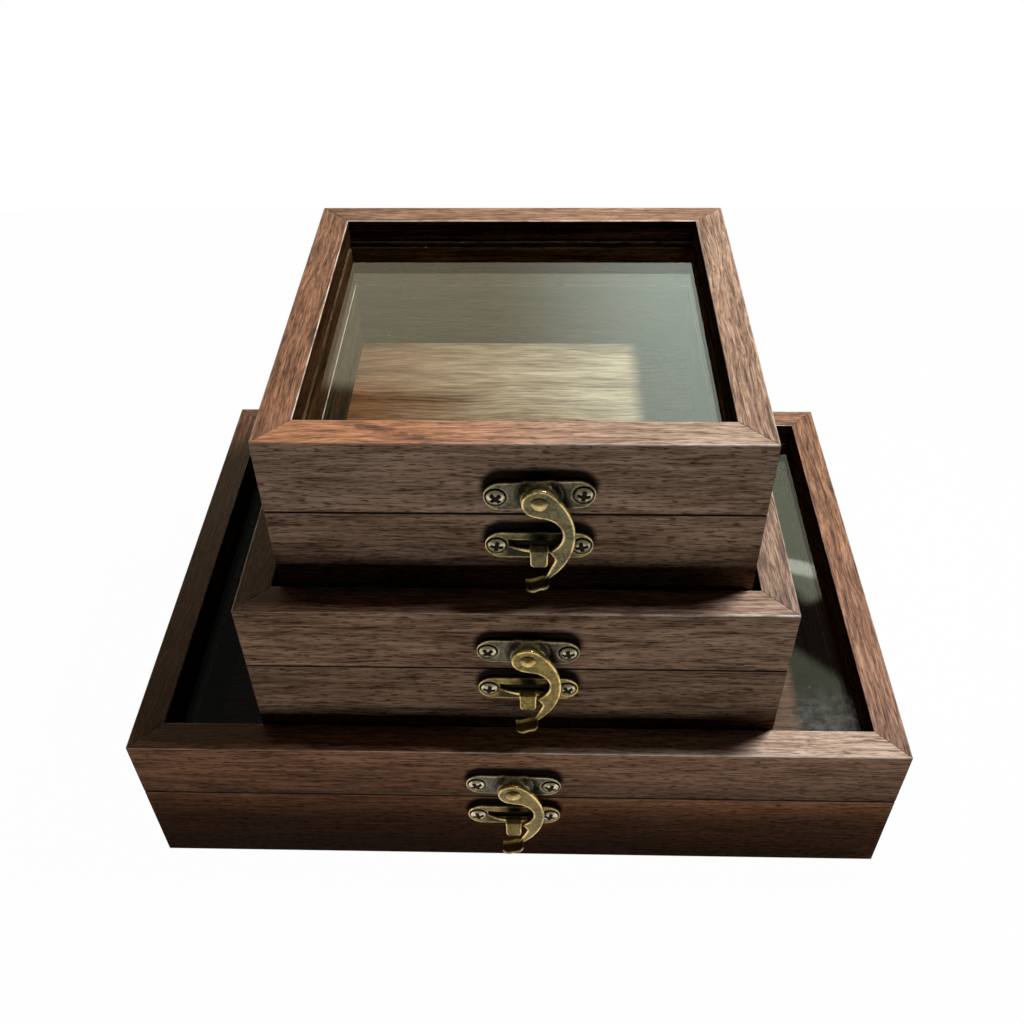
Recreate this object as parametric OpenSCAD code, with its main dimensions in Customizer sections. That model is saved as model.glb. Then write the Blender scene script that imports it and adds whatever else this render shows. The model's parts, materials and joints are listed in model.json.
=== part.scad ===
// Nest of three glass-topped display cases, each with a hinged lid and a
// swing-hook latch. Every upper case stands on the glass of the lid below.
// X runs to the right, Y to the back, Z up. The origin is the middle of the
// large case's underside.

/* [Large case] */
// Width of the large case, side to side
large_w = 225; // [190:1:300]
// Depth of the large case, front to back
large_d = 160.5; // [140:0.5:220]
// How far right of the middle the large case's latch sits
large_latch_x = -0.7; // [-6:0.1:6]
// Height of the large latch plate's middle above the parting line
large_latch_rise = 7.1; // [5.6:0.1:9]
// Depth of the large catch plate's middle below the parting line
large_catch_drop = 8.8; // [7:0.1:10.6]
// Tilt of the large latch plate as fitted by hand, right end up
large_latch_tilt = -1.8; // [-4:0.1:4]

/* [Medium case] */
// Width of the medium case, side to side
medium_w = 149; // [130:1:165]
// How far right of the middle the medium case's latch sits
medium_latch_x = 3.6; // [-6:0.1:6]
// Height of the medium latch plate's middle above the parting line
medium_latch_rise = 7.9; // [5.6:0.1:9]
// Depth of the medium catch plate's middle below the parting line
medium_catch_drop = 7.8; // [7:0.1:10.6]
// Tilt of the medium latch plate as fitted by hand, right end up
medium_latch_tilt = -1.3; // [-4:0.1:4]

/* [Small case] */
// How far right of the middle the small case's latch sits
small_latch_x = 6.4; // [-8:0.1:8]
// Height of the small latch plate's middle above the parting line
small_latch_rise = 6.8; // [5.6:0.1:9]
// Depth of the small catch plate's middle below the parting line
small_catch_drop = 10.3; // [7:0.1:10.6]
// Tilt of the small latch plate as fitted by hand, right end up
small_latch_tilt = 2.5; // [-4:0.1:4]

/* [Nesting] */
// Gap between the large lid's front rail and the medium case
medium_front_gap = 0.5; // [0.3:0.1:3]
// Gap between the large lid's back rail and the medium case
medium_back_gap = 1; // [0.3:0.1:6]
// Gap between the medium lid's front rail and the small case
small_front_gap = 1; // [0.3:0.1:3]
// Gap between the medium lid's back rail and the small case
small_back_gap = 3; // [0.3:0.1:6]
// Gap between the medium lid's side rails and the small case, each side
small_side_gap = 2.25; // [0.3:0.05:6]
// Air between an upper case and the glass that it stands on
stack_gap = 0.2; // [0.1:0.1:0.5]

/* [Boards] */
// Height of a closed case
case_h = 56; // [50:0.5:70]
// Height of the lid frame
lid_h = 22.5; // [18:0.5:26]
// Thickness of the boards round the lid and the tray
board_t = 9; // [8:0.5:12]
// Air at the parting line between lid and tray
parting_gap = 0.3; // [0.2:0.05:0.6]
// Thickness of the tray's floor panel
floor_t = 10.5; // [2:0.5:12]
// How far the floor panel is let into the boards
floor_rabbet = 4; // [2:0.5:5]
// Play round the floor panel in its rabbet
floor_play = 0.1; // [0.05:0.05:0.3]

/* [Glass] */
// Thickness of the glass pane
glass_t = 2; // [1.5:0.1:3]
// Depth of the glass below the top of the lid
glass_recess = 7.4; // [4:0.1:9]
// How far the pane is let into the lid's boards
glass_groove = 3; // [2:0.5:5]
// Play round the pane in its groove
glass_play = 0.1; // [0.05:0.05:0.3]

/* [Latch plates] */
// Length of the latch plate and of the catch plate
plate_w = 28; // [26:0.5:32]
// Height of the latch plate and of the catch plate
plate_h = 9; // [8:0.5:10]
// Thickness of the pressed sheet
sheet_t = 0.8; // [0.6:0.05:1]
// Distance from a plate's end to its screw
screw_edge = 3.1; // [2.8:0.1:3.6]
// Radius of the pressed boss at its foot
boss_foot_r = 5.8; // [5:0.1:6.2]
// Radius of the boss's flat front
boss_front_r = 4.6; // [4:0.1:5]
// How far the boss stands out from the wood
boss_out = 2.9; // [2.4:0.1:3.6]
// How far the boss bulges past the plate's long edges
boss_bulge = 0.4; // [0.1:0.1:0.8]

/* [Hook] */
// Thickness of the hook
hook_t = 1.2; // [0.9:0.1:1.6]
// Radius of the eye round the rivet
eye_r = 4.5; // [4:0.1:5]
// Radius of the hook's open mouth
mouth_r = 5.9; // [5:0.1:6.5]
// Depth of the mouth's middle below the rivet
mouth_drop = 10.6; // [10:0.1:12]
// How far left of the rivet the middle of the outer curve lies
bow_left = 11.1; // [9:0.1:13]
// Depth of the outer curve's middle below the rivet
bow_drop = 11.2; // [10:0.1:12.5]
// Gap at rest between the tooth and the side of the tongue
tooth_gap = 0.25; // [0.1:0.05:1]
// Height of the tooth's tip above the bottom of the mouth
tooth_rise = 0.4; // [0:0.1:1]
// Depth of the notch below the tooth's tip
notch_drop = 3; // [2:0.1:4]
// How far the notch is cut back from the tooth's tip
notch_in = 1.5; // [0.8:0.1:2]
// How far right of the rivet the foot's inner corner lies
foot_x = 1.2; // [0.5:0.1:1.6]
// Width of the foot where it meets the finger tab
foot_w = 1.7; // [1.2:0.1:2.2]
// Height of the foot's inner corner above the tab's middle
foot_top = 0.8; // [0.4:0.1:1.2]
// Depth of the foot's outer corner below the tab's middle
foot_bottom = 1.1; // [0.6:0.1:1.4]
// How far right of the rivet the heel lies, where the foot leaves the outer curve
heel_x = 7.6; // [7:0.1:8.4]
// Height of the heel above the tab's middle
heel_rise = 7.6; // [6.8:0.1:8.4]
// Width of the finger tab
finger_w = 6.4; // [5:0.1:8]
// How far the finger tab stands out from the hook's back
finger_out = 4.3; // [3:0.1:6]
// Depth of the finger tab's middle below the rivet
finger_drop = 27.6; // [26.5:0.1:28]
// Slope of the finger tab, left end down
finger_slope = 12; // [0:1:20]
// Corner radius at the free end of the finger tab
finger_corner = 1.6; // [0.5:0.1:2.2]

/* [Catch] */
// How far the bridge bows out from the wood
bridge_rise = 2; // [1.2:0.1:2]
// Height of the bridge's upper edge above the plate's middle
bridge_high = 0.4; // [0:0.1:1]
// Depth of the bridge's lower edge below the plate's middle
bridge_low = 0.9; // [0.6:0.1:1.6]
// Height of the open slot over the bridge
slot_h = 1.8; // [1:0.1:2.4]
// Distance between each end of the slot and the screw's head
slot_clear = 0.7; // [0.4:0.1:1.5]
// Width of the upright tongue
tongue_w = 4.5; // [3.5:0.1:5]
// How far the tongue's tip stands out from the wood
tongue_out = 6.5; // [5.5:0.1:7.5]
// Height of the tongue's fold above the plate's middle
fold_rise = 2; // [1.5:0.1:3]
// Depth of the tongue's tip below the plate's middle
tip_drop = 2.2; // [1:0.1:3]
// Radius at the middle of the folded sheet
fold_r = 1; // [0.7:0.05:1.2]
// Corner radius at the tongue's tip
tip_corner = 1.2; // [0.4:0.1:1.6]

/* [Rivet] */
// Radius of the rivet that the hook swings on
rivet_r = 1.2; // [0.9:0.05:1.5]
// Radius of the rivet's head
rivet_head_r = 2.25; // [1.8:0.05:2.8]
// Height of the rivet's domed head
rivet_head_h = 1; // [0.6:0.05:1.4]
// Radius of the rivet's flattened tail behind the boss
rivet_tail_r = 2; // [1.6:0.05:2.6]
// Thickness of the rivet's tail
rivet_tail_t = 0.6; // [0.4:0.05:0.9]

/* [Screws] */
// Radius of the screw's shank
screw_r = 1; // [0.8:0.05:1.2]
// Length of the screw below its head
screw_len = 7; // [5:0.5:7]
// Length of the screw's point
screw_point = 1.5; // [1:0.1:2]
// Radius of the blunted tip of the point
screw_tip_r = 0.1; // [0.05:0.05:0.3]
// Radius of the screw's head
screw_head_r = 2.3; // [2:0.05:2.4]
// Height of the screw's domed head
screw_head_h = 1; // [0.7:0.05:1.3]
// Width of each arm of the cross recess
cross_w = 0.55; // [0.4:0.05:0.7]
// Length of the cross recess, tip to tip
cross_len = 2.6; // [2:0.1:3]
// Depth of the cross recess
cross_depth = 0.7; // [0.4:0.05:0.9]

/* [Hinges] */
// Width of a hinge
hinge_w = 20; // [18:0.5:26]
// Height of each hinge leaf from the pin
leaf_h = 10; // [9:0.5:12]
// Distance from the case's side to the middle of a hinge
hinge_inset = 30; // [20:1:36]
// Radius of the hinge knuckles
knuckle_r = 1.5; // [1.3:0.05:1.8]
// Radius of the hinge pin
hinge_pin_r = 0.75; // [0.5:0.05:0.9]
// Width of the tray's middle knuckle
middle_knuckle_w = 8; // [6:0.5:10]
// Distance of the hinge screws from the hinge's middle
hinge_screw_x = 6.4; // [5:0.1:6.5]
// Distance of the hinge screws above and below the pin
hinge_screw_z = 5.9; // [5.2:0.1:6.4]

/* [Fits] */
// Radial play of a pin, rivet or screw in its hole
pin_play = 0.05; // [0.02:0.01:0.1]
// Air between the hook and the boss, and between the hook and the rivet head
hook_play = 0.1; // [0.05:0.01:0.2]
// Air between neighbouring knuckles and between a leaf and a knuckle
knuckle_play = 0.2; // [0.1:0.05:0.4]
// Air between a knuckle and the wood behind it
knuckle_stand = 0.1; // [0.05:0.05:0.3]

/* [Hidden] */
$fn = 64;
large = 0;
medium = 1;
small = 2;
front = 0;
right = 1;
back = 2;
left = 3;
past = 1;
fold_steps = 12;

film = [0.36, 0.26, 0.20];
film_inside = [0.45, 0.34, 0.25];
old_brass = [0.50, 0.42, 0.20];
pale_brass = [0.74, 0.63, 0.42];
pane = [0.70, 0.80, 0.80, 0.35];

medium_d = large_d - 2 * board_t - medium_front_gap - medium_back_gap;
small_d = medium_d - 2 * board_t - small_front_gap - small_back_gap;
small_w = medium_w - 2 * board_t - 2 * small_side_gap;
medium_y = medium_d / 2 - large_d / 2 + board_t + medium_front_gap;
small_y = medium_y + small_d / 2 - medium_d / 2 + board_t + small_front_gap;
stack_step = case_h - glass_recess + stack_gap;

case_w = [large_w, medium_w, small_w];
case_d = [large_d, medium_d, small_d];
case_at = [[0, 0, 0], [0, medium_y, stack_step], [0, small_y, 2 * stack_step]];
latch_x = [large_latch_x, medium_latch_x, small_latch_x];
latch_rise = [large_latch_rise, medium_latch_rise, small_latch_rise];
catch_drop = [large_catch_drop, medium_catch_drop, small_catch_drop];
latch_tilt = [large_latch_tilt, medium_latch_tilt, small_latch_tilt];

tray_h = case_h - lid_h - parting_gap;
parting_z = case_h - lid_h - parting_gap / 2;
glass_top = lid_h - glass_recess;

plate_screw_x = plate_w / 2 - screw_edge;
hook_back = boss_out + hook_play;
hook_front = hook_back + hook_t;
rivet_seat = hook_front + hook_play;
boss_wall = boss_out - sheet_t;
tooth_x = tongue_w / 2 + tooth_gap;
bow_r = norm([bow_left, bow_drop]) + eye_r;
bridge_half = plate_screw_x - screw_head_r - slot_clear;
bridge_r = (pow(bridge_half, 2) + pow(bridge_rise, 2)) / (2 * bridge_rise);
knuckle_out = knuckle_r + knuckle_stand;
leaf_start = knuckle_r + knuckle_play;
side_knuckle_w = (hinge_w - middle_knuckle_w) / 2 - knuckle_play;

// Where the arm of the hook widens, seen from the front, from the rivet
tooth = [tooth_x, tooth_rise - mouth_drop - mouth_r];
notch = [tooth_x + notch_in, tooth[1] - notch_drop];
foot_inside = [foot_x, foot_top - finger_drop];
foot_outside = [foot_x + foot_w, -foot_bottom - finger_drop];
heel = [heel_x, heel_rise - finger_drop];

// Places: a case in the nest, its lid, a spot on its front or its back

module at_case(c) {
    translate(case_at[c]) children();
}

module on_lid() {
    translate([0, 0, case_h - lid_h]) children();
}

// Local frame on the front face: x right, z up, the wood behind y = 0
module on_front(c, z) {
    translate([latch_x[c], -case_d[c] / 2, z]) children();
}

module at_latch(c) {
    on_front(c, parting_z + latch_rise[c]) children();
}

module at_catch(c) {
    on_front(c, parting_z - catch_drop[c]) children();
}

// Local frames of both hinges on the back face, the wood behind y = 0
module at_hinges(c) {
    for (side = [-1, 1])
        translate([side * (case_w[c] / 2 - hinge_inset), case_d[c] / 2, parting_z])
            rotate([0, 0, 180])
                children();
}

// A flat shape drawn in x and z, made solid between two distances from the wood
module outward(from, to) {
    translate([0, -from, 0])
        rotate([90, 0, 0])
            linear_extrude(to - from)
                children();
}

// Boards

function board_length(c, side) = side % 2 == 0 ? case_w[c] : case_d[c];
function board_across(c, side) = side % 2 == 0 ? case_d[c] : case_w[c];

module mitred_board(length, height) {
    linear_extrude(height)
        polygon([
            [-length / 2, 0],
            [length / 2, 0],
            [length / 2 - board_t, board_t],
            [board_t - length / 2, board_t]
        ]);
}

module inside_cut(length, depth, z, height) {
    translate([-length / 2, board_t - depth, z])
        cube([length, depth + past, height]);
}

module at_side(c, side) {
    rotate([0, 0, 90 * side])
        translate([0, -board_across(c, side) / 2, 0])
            children();
}

module tray_board(c, side) {
    at_side(c, side)
        difference() {
            mitred_board(board_length(c, side), tray_h);
            inside_cut(board_length(c, side), floor_rabbet, -past, floor_t + past);
        }
}

module lid_board(c, side) {
    on_lid()
        at_side(c, side)
            difference() {
                mitred_board(board_length(c, side), lid_h);
                inside_cut(
                    board_length(c, side),
                    glass_groove,
                    glass_top - glass_t - glass_play,
                    glass_t + 2 * glass_play
                );
            }
}

module tray_front(c) {
    difference() {
        tray_board(c, front);
        at_catch(c) plate_pilot_holes();
    }
}

module tray_back(c) {
    difference() {
        tray_board(c, back);
        at_hinges(c) hinge_pilot_holes(-1);
    }
}

module lid_front(c) {
    difference() {
        lid_board(c, front);
        at_latch(c) rotate([0, -latch_tilt[c], 0]) plate_pilot_holes();
    }
}

module lid_back(c) {
    difference() {
        lid_board(c, back);
        at_hinges(c) hinge_pilot_holes(1);
    }
}

module tray_floor(c) {
    let_in = 2 * (board_t - floor_rabbet + floor_play);
    translate([let_in / 2 - case_w[c] / 2, let_in / 2 - case_d[c] / 2, 0])
        cube([case_w[c] - let_in, case_d[c] - let_in, floor_t]);
}

module glass(c) {
    let_in = 2 * (board_t - glass_groove + glass_play);
    on_lid()
        translate([let_in / 2 - case_w[c] / 2, let_in / 2 - case_d[c] / 2, glass_top - glass_t])
            cube([case_w[c] - let_in, case_d[c] - let_in, glass_t]);
}

// Screws, their holes and where they sit

module domed_head(radius, height) {
    ball = (pow(radius, 2) + pow(height, 2)) / (2 * height);
    intersection() {
        translate([0, 0, height - ball]) sphere(ball);
        cylinder(h = height, r = radius);
    }
}

module screw() {
    translate([0, -sheet_t, 0])
        rotate([90, 0, 0])
            difference() {
                union() {
                    domed_head(screw_head_r, screw_head_h);
                    translate([0, 0, screw_point - screw_len])
                        cylinder(h = screw_len - screw_point, r = screw_r);
                    translate([0, 0, -screw_len])
                        cylinder(h = screw_point, r1 = screw_tip_r, r2 = screw_r);
                }
                for (turn = [0, 90])
                    rotate([0, 0, turn])
                        translate([-cross_len / 2, -cross_w / 2, screw_head_h - cross_depth])
                            cube([cross_len, cross_w, screw_head_h]);
            }
}

module hole(radius, depth) {
    translate([0, depth, 0])
        rotate([90, 0, 0])
            cylinder(h = depth + past, r = radius);
}

module pilot_hole() {
    hole(screw_r + pin_play, screw_len - sheet_t + pin_play);
}

module plate_screw_spots() {
    for (side = [-1, 1])
        translate([side * plate_screw_x, 0, 0])
            children();
}

module hinge_screw_spots(up) {
    for (side = [-1, 1])
        translate([side * hinge_screw_x, 0, up * hinge_screw_z])
            children();
}

module plate_pilot_holes() {
    plate_screw_spots() pilot_hole();
}

module hinge_pilot_holes(up) {
    hinge_screw_spots(up) pilot_hole();
}

module sheet_hole() {
    outward(-past, sheet_t + past) circle(screw_r + pin_play);
}

module tray_screws(c) {
    at_catch(c) plate_screw_spots() screw();
    at_hinges(c) hinge_screw_spots(-1) screw();
}

module lid_screws(c) {
    at_latch(c) rotate([0, -latch_tilt[c], 0]) plate_screw_spots() screw();
    at_hinges(c) hinge_screw_spots(1) screw();
}

// Latch plate with its pressed boss, the rivet and the hook

module stadium(width, height) {
    square([width - height, height], center = true);
    for (side = [-1, 1])
        translate([side * (width - height) / 2, 0])
            circle(d = height);
}

module plate_blank() {
    outward(0, sheet_t) stadium(plate_w, plate_h);
}

module boss_shell() {
    band = plate_h + 2 * boss_bulge;
    intersection() {
        rotate([90, 0, 0]) {
            cylinder(h = sheet_t, r = boss_foot_r);
            translate([0, 0, sheet_t])
                cylinder(h = boss_wall, r1 = boss_foot_r, r2 = boss_front_r);
        }
        translate([-boss_foot_r, -boss_out, -band / 2])
            cube([2 * boss_foot_r, boss_out, band]);
    }
}

module boss_hollow() {
    translate([0, past, 0])
        rotate([90, 0, 0])
            cylinder(
                h = boss_wall + past,
                r1 = boss_foot_r - sheet_t,
                r2 = boss_front_r - sheet_t
            );
}

module latch_plate() {
    difference() {
        union() {
            plate_blank();
            boss_shell();
        }
        intersection() {
            boss_hollow();
            translate([-plate_w / 2, -boss_out, sheet_t - plate_h / 2])
                cube([plate_w, boss_out + 2 * past, plate_h - 2 * sheet_t]);
        }
        outward(-past, boss_out + past) circle(rivet_r + pin_play);
        plate_screw_spots() sheet_hole();
    }
}

module latch_rivet() {
    outward(boss_wall - rivet_tail_t, rivet_seat) circle(rivet_r);
    outward(boss_wall - rivet_tail_t, boss_wall) circle(rivet_tail_r);
    translate([0, -rivet_seat, 0])
        rotate([90, 0, 0])
            domed_head(rivet_head_r, rivet_head_h);
}

module hook_outline() {
    difference() {
        union() {
            circle(eye_r);
            intersection() {
                translate([-bow_left, -bow_drop]) circle(bow_r);
                polygon([
                    [0, 0],
                    [eye_r, 2 * eye_r],
                    [3 * eye_r, 0],
                    [3 * eye_r, heel[1]],
                    heel,
                    foot_outside,
                    foot_inside,
                    notch,
                    tooth,
                    [0, -mouth_drop]
                ]);
            }
        }
        translate([0, -mouth_drop]) circle(mouth_r);
        circle(rivet_r + pin_play);
    }
}

module finger_outline() {
    reach = finger_out - finger_corner;
    translate([-finger_w / 2, -reach]) square([finger_w, reach]);
    translate([finger_corner - finger_w / 2, -finger_out])
        square([finger_w - 2 * finger_corner, finger_corner + past / 2]);
    for (side = [-1, 1])
        translate([side * (finger_w / 2 - finger_corner), -reach])
            circle(finger_corner);
}

module finger_tab() {
    translate([foot_outside[0] - finger_w / 2, -hook_back, -finger_drop])
        rotate([0, -finger_slope, 0])
            translate([0, 0, -hook_t / 2])
                linear_extrude(hook_t)
                    finger_outline();
}

module hook() {
    outward(hook_back, hook_front) hook_outline();
    finger_tab();
}

// Catch plate with its bowed bridge and folded tongue

module bridge() {
    middle = bridge_r - bridge_rise - sheet_t / 2;
    translate([0, 0, -bridge_low])
        linear_extrude(bridge_low + bridge_high)
            intersection() {
                translate([0, middle])
                    difference() {
                        circle(bridge_r + sheet_t / 2);
                        circle(bridge_r - sheet_t / 2);
                    }
                translate([-bridge_half - sheet_t, -2 * bridge_rise])
                    square([2 * (bridge_half + sheet_t), 2 * bridge_rise]);
            }
}

function polar(middle, radius, angle) = middle + radius * [cos(angle), sin(angle)];

// The tongue from its side: distance out from the wood, height up the plate
module tongue_outline() {
    root = [bridge_rise + sheet_t / 2, bridge_high - sheet_t];
    tip = [tongue_out - sheet_t / 2, -tip_drop];
    fold = [(root[0] + tip[0]) / 2, fold_rise];
    from_root = fold - root;
    from_tip = fold - tip;
    rise_side = atan2(from_root[1], from_root[0]) + asin(fold_r / norm(from_root)) + 90;
    fall_side = atan2(from_tip[1], from_tip[0]) - asin(fold_r / norm(from_tip)) - 90;
    turn = (fall_side - rise_side) / fold_steps;
    polygon([
        polar(root, sheet_t / 2, rise_side),
        for (i = [0 : fold_steps]) polar(fold, fold_r + sheet_t / 2, rise_side + i * turn),
        polar(tip, sheet_t / 2, fall_side),
        polar(tip, -sheet_t / 2, fall_side),
        for (i = [0 : fold_steps]) polar(fold, fold_r - sheet_t / 2, fall_side - i * turn),
        polar(root, -sheet_t / 2, rise_side)
    ]);
}

// The tongue from the front, with its rounded tip and room above the fold
module tongue_front() {
    half = tongue_w / 2;
    translate([-half, tip_corner - tip_drop])
        square([tongue_w, plate_h]);
    translate([tip_corner - half, -tip_drop])
        square([tongue_w - 2 * tip_corner, plate_h]);
    for (side = [-1, 1])
        translate([side * (half - tip_corner), tip_corner - tip_drop])
            circle(tip_corner);
}

module tongue() {
    intersection() {
        rotate([90, 0, -90])
            linear_extrude(tongue_w, center = true)
                tongue_outline();
        outward(0, tongue_out + past) tongue_front();
    }
}

module catch_plate() {
    difference() {
        plate_blank();
        translate([-bridge_half, -past, -bridge_low])
            cube([2 * bridge_half, 2 * past, bridge_low + bridge_high + slot_h]);
        plate_screw_spots() sheet_hole();
    }
    bridge();
    tongue();
}

// Hinges: side knuckles on the lid's leaf, the middle one on the tray's

module knuckle(x, width) {
    translate([x, -knuckle_out, 0])
        rotate([0, 90, 0])
            cylinder(h = width, r = knuckle_r);
}

module knuckle_with_tab(x, width, up) {
    knuckle(x, width);
    translate([x, -sheet_t, up > 0 ? 0 : -leaf_start])
        cube([width, sheet_t, leaf_start]);
}

module hinge_leaf(up) {
    difference() {
        union() {
            translate([-hinge_w / 2, -sheet_t, up > 0 ? leaf_start : -leaf_h])
                cube([hinge_w, sheet_t, leaf_h - leaf_start]);
            if (up > 0) {
                knuckle_with_tab(-hinge_w / 2, side_knuckle_w, up);
                knuckle_with_tab(hinge_w / 2 - side_knuckle_w, side_knuckle_w, up);
            } else {
                knuckle_with_tab(-middle_knuckle_w / 2, middle_knuckle_w, up);
            }
        }
        translate([-hinge_w, -knuckle_out, 0])
            rotate([0, 90, 0])
                cylinder(h = 2 * hinge_w, r = hinge_pin_r + pin_play);
        hinge_screw_spots(up) sheet_hole();
    }
}

module hinge_leaves(c, up) {
    at_hinges(c) hinge_leaf(up);
}

module hinge_pins(c) {
    at_hinges(c)
        translate([-hinge_w / 2, -knuckle_out, 0])
            rotate([0, 90, 0])
                cylinder(h = hinge_w, r = hinge_pin_r);
}

// Large case

module large_tray_front() {
    color(film) at_case(large) tray_front(large);
}

module large_tray_right() {
    color(film) at_case(large) tray_board(large, right);
}

module large_tray_back() {
    color(film) at_case(large) tray_back(large);
}

module large_tray_left() {
    color(film) at_case(large) tray_board(large, left);
}

module large_tray_floor() {
    color(film_inside) at_case(large) tray_floor(large);
}

module large_tray_hinge_leaves() {
    color(old_brass) at_case(large) hinge_leaves(large, -1);
}

module large_hinge_pins() {
    color(pale_brass) at_case(large) hinge_pins(large);
}

module large_catch() {
    color(old_brass) at_case(large) at_catch(large) catch_plate();
}

module large_tray_screws() {
    color(pale_brass) at_case(large) tray_screws(large);
}

module large_lid_front() {
    color(film) at_case(large) lid_front(large);
}

module large_lid_right() {
    color(film) at_case(large) lid_board(large, right);
}

module large_lid_back() {
    color(film) at_case(large) lid_back(large);
}

module large_lid_left() {
    color(film) at_case(large) lid_board(large, left);
}

module large_glass() {
    color(pane) at_case(large) glass(large);
}

module large_lid_hinge_leaves() {
    color(old_brass) at_case(large) hinge_leaves(large, 1);
}

module large_latch_plate() {
    color(old_brass)
        at_case(large)
            at_latch(large)
                rotate([0, -latch_tilt[large], 0])
                    latch_plate();
}

module large_latch_rivet() {
    color(pale_brass) at_case(large) at_latch(large) latch_rivet();
}

module large_lid_screws() {
    color(pale_brass) at_case(large) lid_screws(large);
}

module large_hook() {
    color(old_brass) at_case(large) at_latch(large) hook();
}

// Medium case

module medium_tray_front() {
    color(film) at_case(medium) tray_front(medium);
}

module medium_tray_right() {
    color(film) at_case(medium) tray_board(medium, right);
}

module medium_tray_back() {
    color(film) at_case(medium) tray_back(medium);
}

module medium_tray_left() {
    color(film) at_case(medium) tray_board(medium, left);
}

module medium_tray_floor() {
    color(film_inside) at_case(medium) tray_floor(medium);
}

module medium_tray_hinge_leaves() {
    color(old_brass) at_case(medium) hinge_leaves(medium, -1);
}

module medium_hinge_pins() {
    color(pale_brass) at_case(medium) hinge_pins(medium);
}

module medium_catch() {
    color(old_brass) at_case(medium) at_catch(medium) catch_plate();
}

module medium_tray_screws() {
    color(pale_brass) at_case(medium) tray_screws(medium);
}

module medium_lid_front() {
    color(film) at_case(medium) lid_front(medium);
}

module medium_lid_right() {
    color(film) at_case(medium) lid_board(medium, right);
}

module medium_lid_back() {
    color(film) at_case(medium) lid_back(medium);
}

module medium_lid_left() {
    color(film) at_case(medium) lid_board(medium, left);
}

module medium_glass() {
    color(pane) at_case(medium) glass(medium);
}

module medium_lid_hinge_leaves() {
    color(old_brass) at_case(medium) hinge_leaves(medium, 1);
}

module medium_latch_plate() {
    color(old_brass)
        at_case(medium)
            at_latch(medium)
                rotate([0, -latch_tilt[medium], 0])
                    latch_plate();
}

module medium_latch_rivet() {
    color(pale_brass) at_case(medium) at_latch(medium) latch_rivet();
}

module medium_lid_screws() {
    color(pale_brass) at_case(medium) lid_screws(medium);
}

module medium_hook() {
    color(old_brass) at_case(medium) at_latch(medium) hook();
}

// Small case

module small_tray_front() {
    color(film) at_case(small) tray_front(small);
}

module small_tray_right() {
    color(film) at_case(small) tray_board(small, right);
}

module small_tray_back() {
    color(film) at_case(small) tray_back(small);
}

module small_tray_left() {
    color(film) at_case(small) tray_board(small, left);
}

module small_tray_floor() {
    color(film_inside) at_case(small) tray_floor(small);
}

module small_tray_hinge_leaves() {
    color(old_brass) at_case(small) hinge_leaves(small, -1);
}

module small_hinge_pins() {
    color(pale_brass) at_case(small) hinge_pins(small);
}

module small_catch() {
    color(old_brass) at_case(small) at_catch(small) catch_plate();
}

module small_tray_screws() {
    color(pale_brass) at_case(small) tray_screws(small);
}

module small_lid_front() {
    color(film) at_case(small) lid_front(small);
}

module small_lid_right() {
    color(film) at_case(small) lid_board(small, right);
}

module small_lid_back() {
    color(film) at_case(small) lid_back(small);
}

module small_lid_left() {
    color(film) at_case(small) lid_board(small, left);
}

module small_glass() {
    color(pane) at_case(small) glass(small);
}

module small_lid_hinge_leaves() {
    color(old_brass) at_case(small) hinge_leaves(small, 1);
}

module small_latch_plate() {
    color(old_brass)
        at_case(small)
            at_latch(small)
                rotate([0, -latch_tilt[small], 0])
                    latch_plate();
}

module small_latch_rivet() {
    color(pale_brass) at_case(small) at_latch(small) latch_rivet();
}

module small_lid_screws() {
    color(pale_brass) at_case(small) lid_screws(small);
}

module small_hook() {
    color(old_brass) at_case(small) at_latch(small) hook();
}

large_tray_front();
large_tray_right();
large_tray_back();
large_tray_left();
large_tray_floor();
large_tray_hinge_leaves();
large_hinge_pins();
large_catch();
large_tray_screws();
large_lid_front();
large_lid_right();
large_lid_back();
large_lid_left();
large_glass();
large_lid_hinge_leaves();
large_latch_plate();
large_latch_rivet();
large_lid_screws();
large_hook();
medium_tray_front();
medium_tray_right();
medium_tray_back();
medium_tray_left();
medium_tray_floor();
medium_tray_hinge_leaves();
medium_hinge_pins();
medium_catch();
medium_tray_screws();
medium_lid_front();
medium_lid_right();
medium_lid_back();
medium_lid_left();
medium_glass();
medium_lid_hinge_leaves();
medium_latch_plate();
medium_latch_rivet();
medium_lid_screws();
medium_hook();
small_tray_front();
small_tray_right();
small_tray_back();
small_tray_left();
small_tray_floor();
small_tray_hinge_leaves();
small_hinge_pins();
small_catch();
small_tray_screws();
small_lid_front();
small_lid_right();
small_lid_back();
small_lid_left();
small_glass();
small_lid_hinge_leaves();
small_latch_plate();
small_latch_rivet();
small_lid_screws();
small_hook();
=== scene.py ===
import json
import math

import bpy
import numpy as np
from mathutils import Matrix, Vector
from mathutils.geometry import tessellate_polygon


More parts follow.
